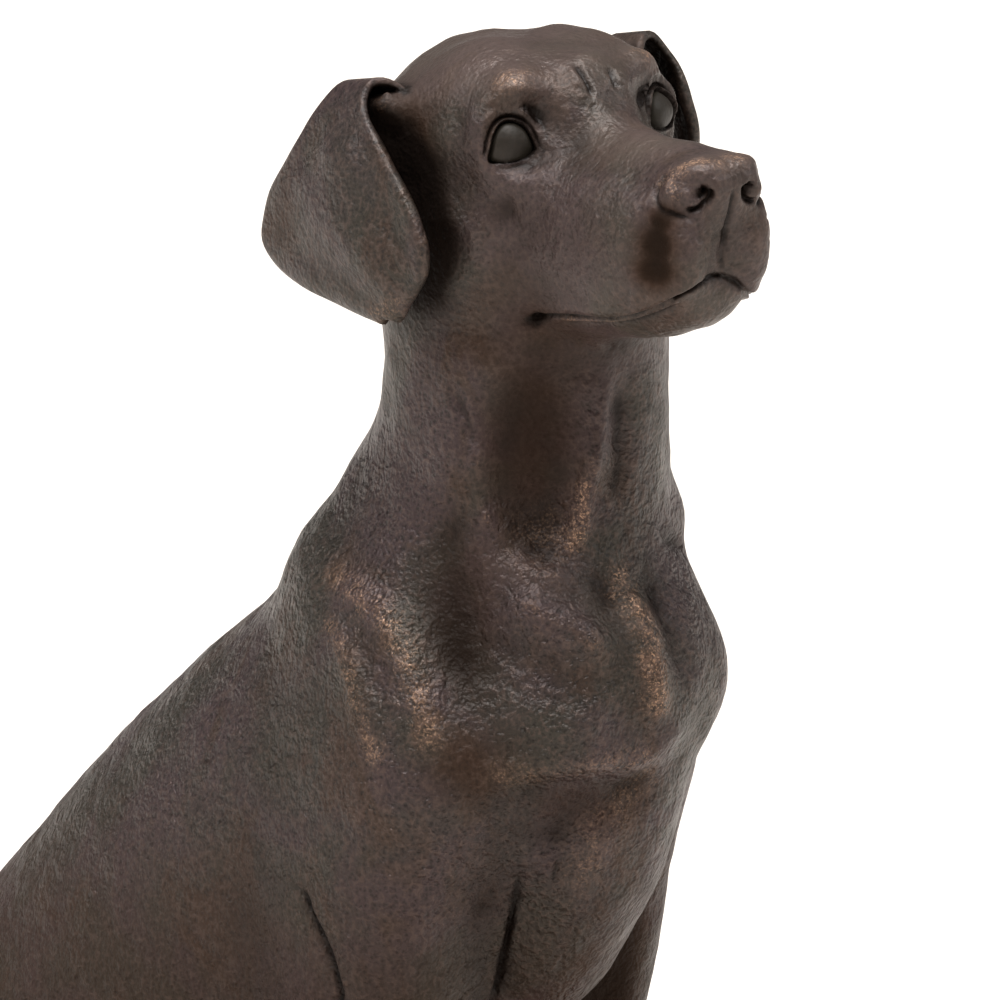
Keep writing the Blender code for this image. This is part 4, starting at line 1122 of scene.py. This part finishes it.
def bronze_patina(name, has_shares):
    """Dark brown patina over copper, mottled violet and green, worked in short strokes."""
    n = Nodes(name)
    place = n.node("ShaderNodeTexCoord", "Object", {})
    cloud = n.noise(place, "cloud")
    drift = n.noise(n.stretched(place, (0, 0, 0), DRIFT_STRETCH), "drift")
    fleck = n.noise(place, "fleck")
    spark = n.noise(place, "spark")
    # Strokes of the modelling tool, drawn out down the body, and the cast metal's grain
    down = n.noise(n.stretched(place, STROKE_TURN, STROKE_STRETCH), "stroke")
    grain = n.noise(place, "grain")
    stroke = n.plus(n.times(down, 0.4), n.times(grain, 0.3))
    stroke = n.plus(stroke, n.times(n.cells(place, PITS), 0.3))
    dent = n.noise(place, "dent")
    raised = n.span(stroke, 0.50, 0.62)

    colour = n.painted(shown("violet"), (n.span(cloud, 0.40, 0.62), "green"),
                       (n.span(drift, 0.50, 0.68), "brown"), (n.times(raised, 0.4), "light"),
                       (n.times(n.span(stroke, 0.47, 0.36), 0.75), "dark"))
    metal = n.times(raised, 0.2)
    rough = n.span(n.noise(place, "gloss"), 0.3, 0.7, 0.34, 0.48)
    smooth = 1.0
    if has_shares:
        brown_and_shade, calm, eye = n.share("brown"), n.share("calm"), n.share("eye")
        hollow, valley = n.share("hollow"), n.share("valley")
        bend = n.math("SUBTRACT", valley, n.times(n.share("ears"), 0.6))
        deep = n.span(bend, -0.12, 0.26, 0.0, 0.85)
        hidden = n.span(n.share("shade"), 0.06, 0.45, 0.0, 0.94)
        # The patina is rubbed off edges and ridges, in patches where bare metal sparkles; on the
        # brows the rubbed colour is partly, and on the lower lip wholly, a painted highlight
        edge = n.times(n.span(hollow, -0.3, -1.0, 0.0, 0.3), n.span(calm, 0.0, 1.0, 1.0, 0.1))
        ridge = n.span(valley, -0.42, -0.8, 0.0, 0.15)
        wear_and_highlight = n.most(n.share("wear_and_highlight"), n.most(edge, ridge))
        patchy = n.times(wear_and_highlight, n.span(fleck, 0.38, 0.58, 0.3, 1.0))
        tint = n.times(patchy, n.span(stroke, 0.42, 0.56, 0.2, 0.8))
        show = n.times(n.span(spark, 0.52, 0.62), patchy)
        # Painted light on the crown, muzzle, nose and breast's slope; brown that is partly patina
        # and partly painted shade, darkest in the gaps; painted shade in the valleys and where the
        # dog hides the light from itself; small recesses darker
        colour = n.painted(colour, (n.times(n.share("pale"), 0.5), "pale"),
                           (n.times(brown_and_shade, 0.85), "brown_and_shade"),
                           (n.span(brown_and_shade, 0.65, 1.0, 0.0, 0.85), "deep_shade_and_brown"),
                           (deep, "valley"), (hidden, "shade"),
                           (n.span(hollow, 0.05, 0.6, 0.0, 0.8), "recess"),
                           (n.times(tint, 0.65), "rubbed"), (n.times(show, 0.9), "copper"),
                           (n.times(eye, 0.85), "eye"))
        # Recesses are dull: dirt and wax lie in them. Gloss is also taken away under the brown and
        # the painted shade, so that they stay dark
        dull = n.most(brown_and_shade, n.most(deep, hidden))
        gloss = n.times(n.span(dull, 0.0, 1.0, 1.0, 0.12), n.span(eye, 0.0, 1.0, 1.0, 0.6))
        smooth = n.math("MINIMUM", n.span(eye, 0.0, 1.0, 1.0, 0.12),
                        n.span(calm, 0.0, 1.0, 1.0, 0.46))
        metal = n.times(n.plus(n.most(metal, n.times(show, 0.6)), 0.35), gloss)
        metal = n.times(metal, n.span(calm, 0.0, 1.0, 1.0, 0.65))
        rough = n.plus(n.plus(rough, n.times(brown_and_shade, 0.2)), n.times(calm, 0.06))
        n.put(n.shader.inputs["Specular IOR Level"], n.times(gloss, 0.4))
    else:
        colour = n.painted(colour, (n.times(n.span(fleck, 0.58, 0.75), 0.3), "copper"))
        metal = n.plus(metal, 0.35)
    strokes = n.bump(stroke, STROKE_DEPTH, smooth)
    for key, value in (("Base Color", colour), ("Metallic", metal), ("Roughness", rough),
                       ("Normal", n.bump(dent, DENT_DEPTH, smooth, strokes))):
        n.put(n.shader.inputs[key], value)
    return n.material


def make_dog():
    mesh = dog_mesh()
    points, _ = mesh_arrays(mesh)
    local = in_head(points)
    ears = eased((np.abs(local[:, 0]) - 5.6) / 0.8) * eased((local[:, 2] + 9.0) / 2.0)
    above_neck = eased((points[:, 2] - 55) / 4)
    shares = {"wear_and_highlight": rub_and_highlight_shares(points, local), "brown": brown_and_shade_shares(points, local),
              "hollow": hollow_shares(mesh, HOLLOW_ROUNDS, True),
              "valley": hollow_shares(mesh, VALLEY_ROUNDS, False),
              "shade": shade_shares(mesh, SHADE_RAYS, SHADE_REACH), "eye": eye_shares(local),
              "pale": painted_light_shares(points, local) * (1 - ears), "ears": ears,
              "calm": np.maximum(face_share(local), 0.8 * above_neck)}
    for name, values in shares.items():
        attribute = mesh.attributes.new(name, "FLOAT", "POINT")
        attribute.data.foreach_set("value", np.asarray(values, dtype=np.float32))
    set_points(mesh, points * GRID + (0, DOG_SHIFT * GRID, SEAT))
    mesh.shade_smooth()
    dog = placed("dog_detail", mesh)
    mesh.materials.append(bronze_patina("dog_bronze", True))
    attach(dog, "root")
    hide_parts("dog")


def dress_base():
    base = frame["nodes"]["base"]
    finish = bronze_patina("base_bronze_patina", False)
    for slot in base.material_slots:
        slot.material = finish


# ---- Light, floor and view ----

# The view's own axes and what it looks at, in grid units
VIEW_AZIMUTH = -50.0
VIEW_ELEVATION = 15.0
VIEW_TARGET = (-1.674, -1.235, 55.131)
VIEW_DISTANCE = 1000.0
VIEW_SPAN = 1000 / 24.7
SENSOR = 36.0
CLIP_END = 50

# Far soft lights: azimuth, elevation and how many degrees of the sky they fill, and power
LIGHTS = {"top": (-60, 80, 40, 4.2), "key": (-25, 55, 12, 0.6), "left": (-125, 38, 25, 0.9),
          "right_edge": (45, 30, 25, 0.7)}
SKY_LIGHT = 0.14
FLOOR_HALF = 9
FLOOR_DROP = 0.0005
FLOOR_COLOUR = (0.80, 0.74, 0.68, 1)


def towards(azimuth, elevation):
    """The way to a place in the sky, with azimuth 0 where the dog looks to."""
    turn, rise = math.radians(azimuth), math.radians(elevation)
    return Vector((math.sin(turn) * math.cos(rise), -math.cos(turn) * math.cos(rise),
                   math.sin(rise)))


def make_camera():
    azimuth = math.radians(VIEW_AZIMUTH)
    back = towards(VIEW_AZIMUTH, VIEW_ELEVATION)
    right = Vector((math.cos(azimuth), math.sin(azimuth), 0))
    target = Vector(VIEW_TARGET) * GRID + Vector((0, DOG_SHIFT * GRID, SEAT))
    data = bpy.data.cameras.new("camera")
    data.sensor_width = SENSOR
    data.lens = SENSOR * VIEW_DISTANCE / VIEW_SPAN
    data.clip_end = CLIP_END
    camera = placed("camera", data)
    place = Matrix((right, back.cross(right), back)).transposed().to_4x4()
    place.translation = target + back * VIEW_DISTANCE * GRID
    camera.matrix_world = place
    bpy.context.scene.camera = camera


def make_stage():
    mesh = bpy.data.meshes.new("floor")
    corners = [(x * FLOOR_HALF, y * FLOOR_HALF, 0)
               for x, y in ((-1, -1), (1, -1), (1, 1), (-1, 1))]
    mesh.from_pydata(corners, [], [(0, 1, 2, 3)])
    floor = placed("floor", mesh)
    floor.location.z = -FLOOR_DROP
    pale = bpy.data.materials.new("pale_floor")
    pale.use_nodes = True
    shader = pale.node_tree.nodes["Principled BSDF"]
    shader.inputs["Base Color"].default_value = FLOOR_COLOUR
    shader.inputs["Roughness"].default_value = 0.9
    mesh.materials.append(pale)
    world = bpy.data.worlds.new("studio")
    bpy.context.scene.world = world
    world.use_nodes = True
    sky = world.node_tree.nodes["Background"]
    sky.inputs["Color"].default_value = (1, 1, 1, 1)
    sky.inputs["Strength"].default_value = SKY_LIGHT
    for name, (azimuth, elevation, spread_of_sky, power) in LIGHTS.items():
        data = bpy.data.lights.new(name, "SUN")
        data.angle = math.radians(spread_of_sky)
        data.energy = power
        light = placed(name, data)
        light.rotation_euler = towards(azimuth, elevation).to_track_quat("Z", "Y").to_euler()
    bpy.context.scene.view_settings.view_transform = "Standard"


make_dog()
dress_base()
make_camera()
make_stage()
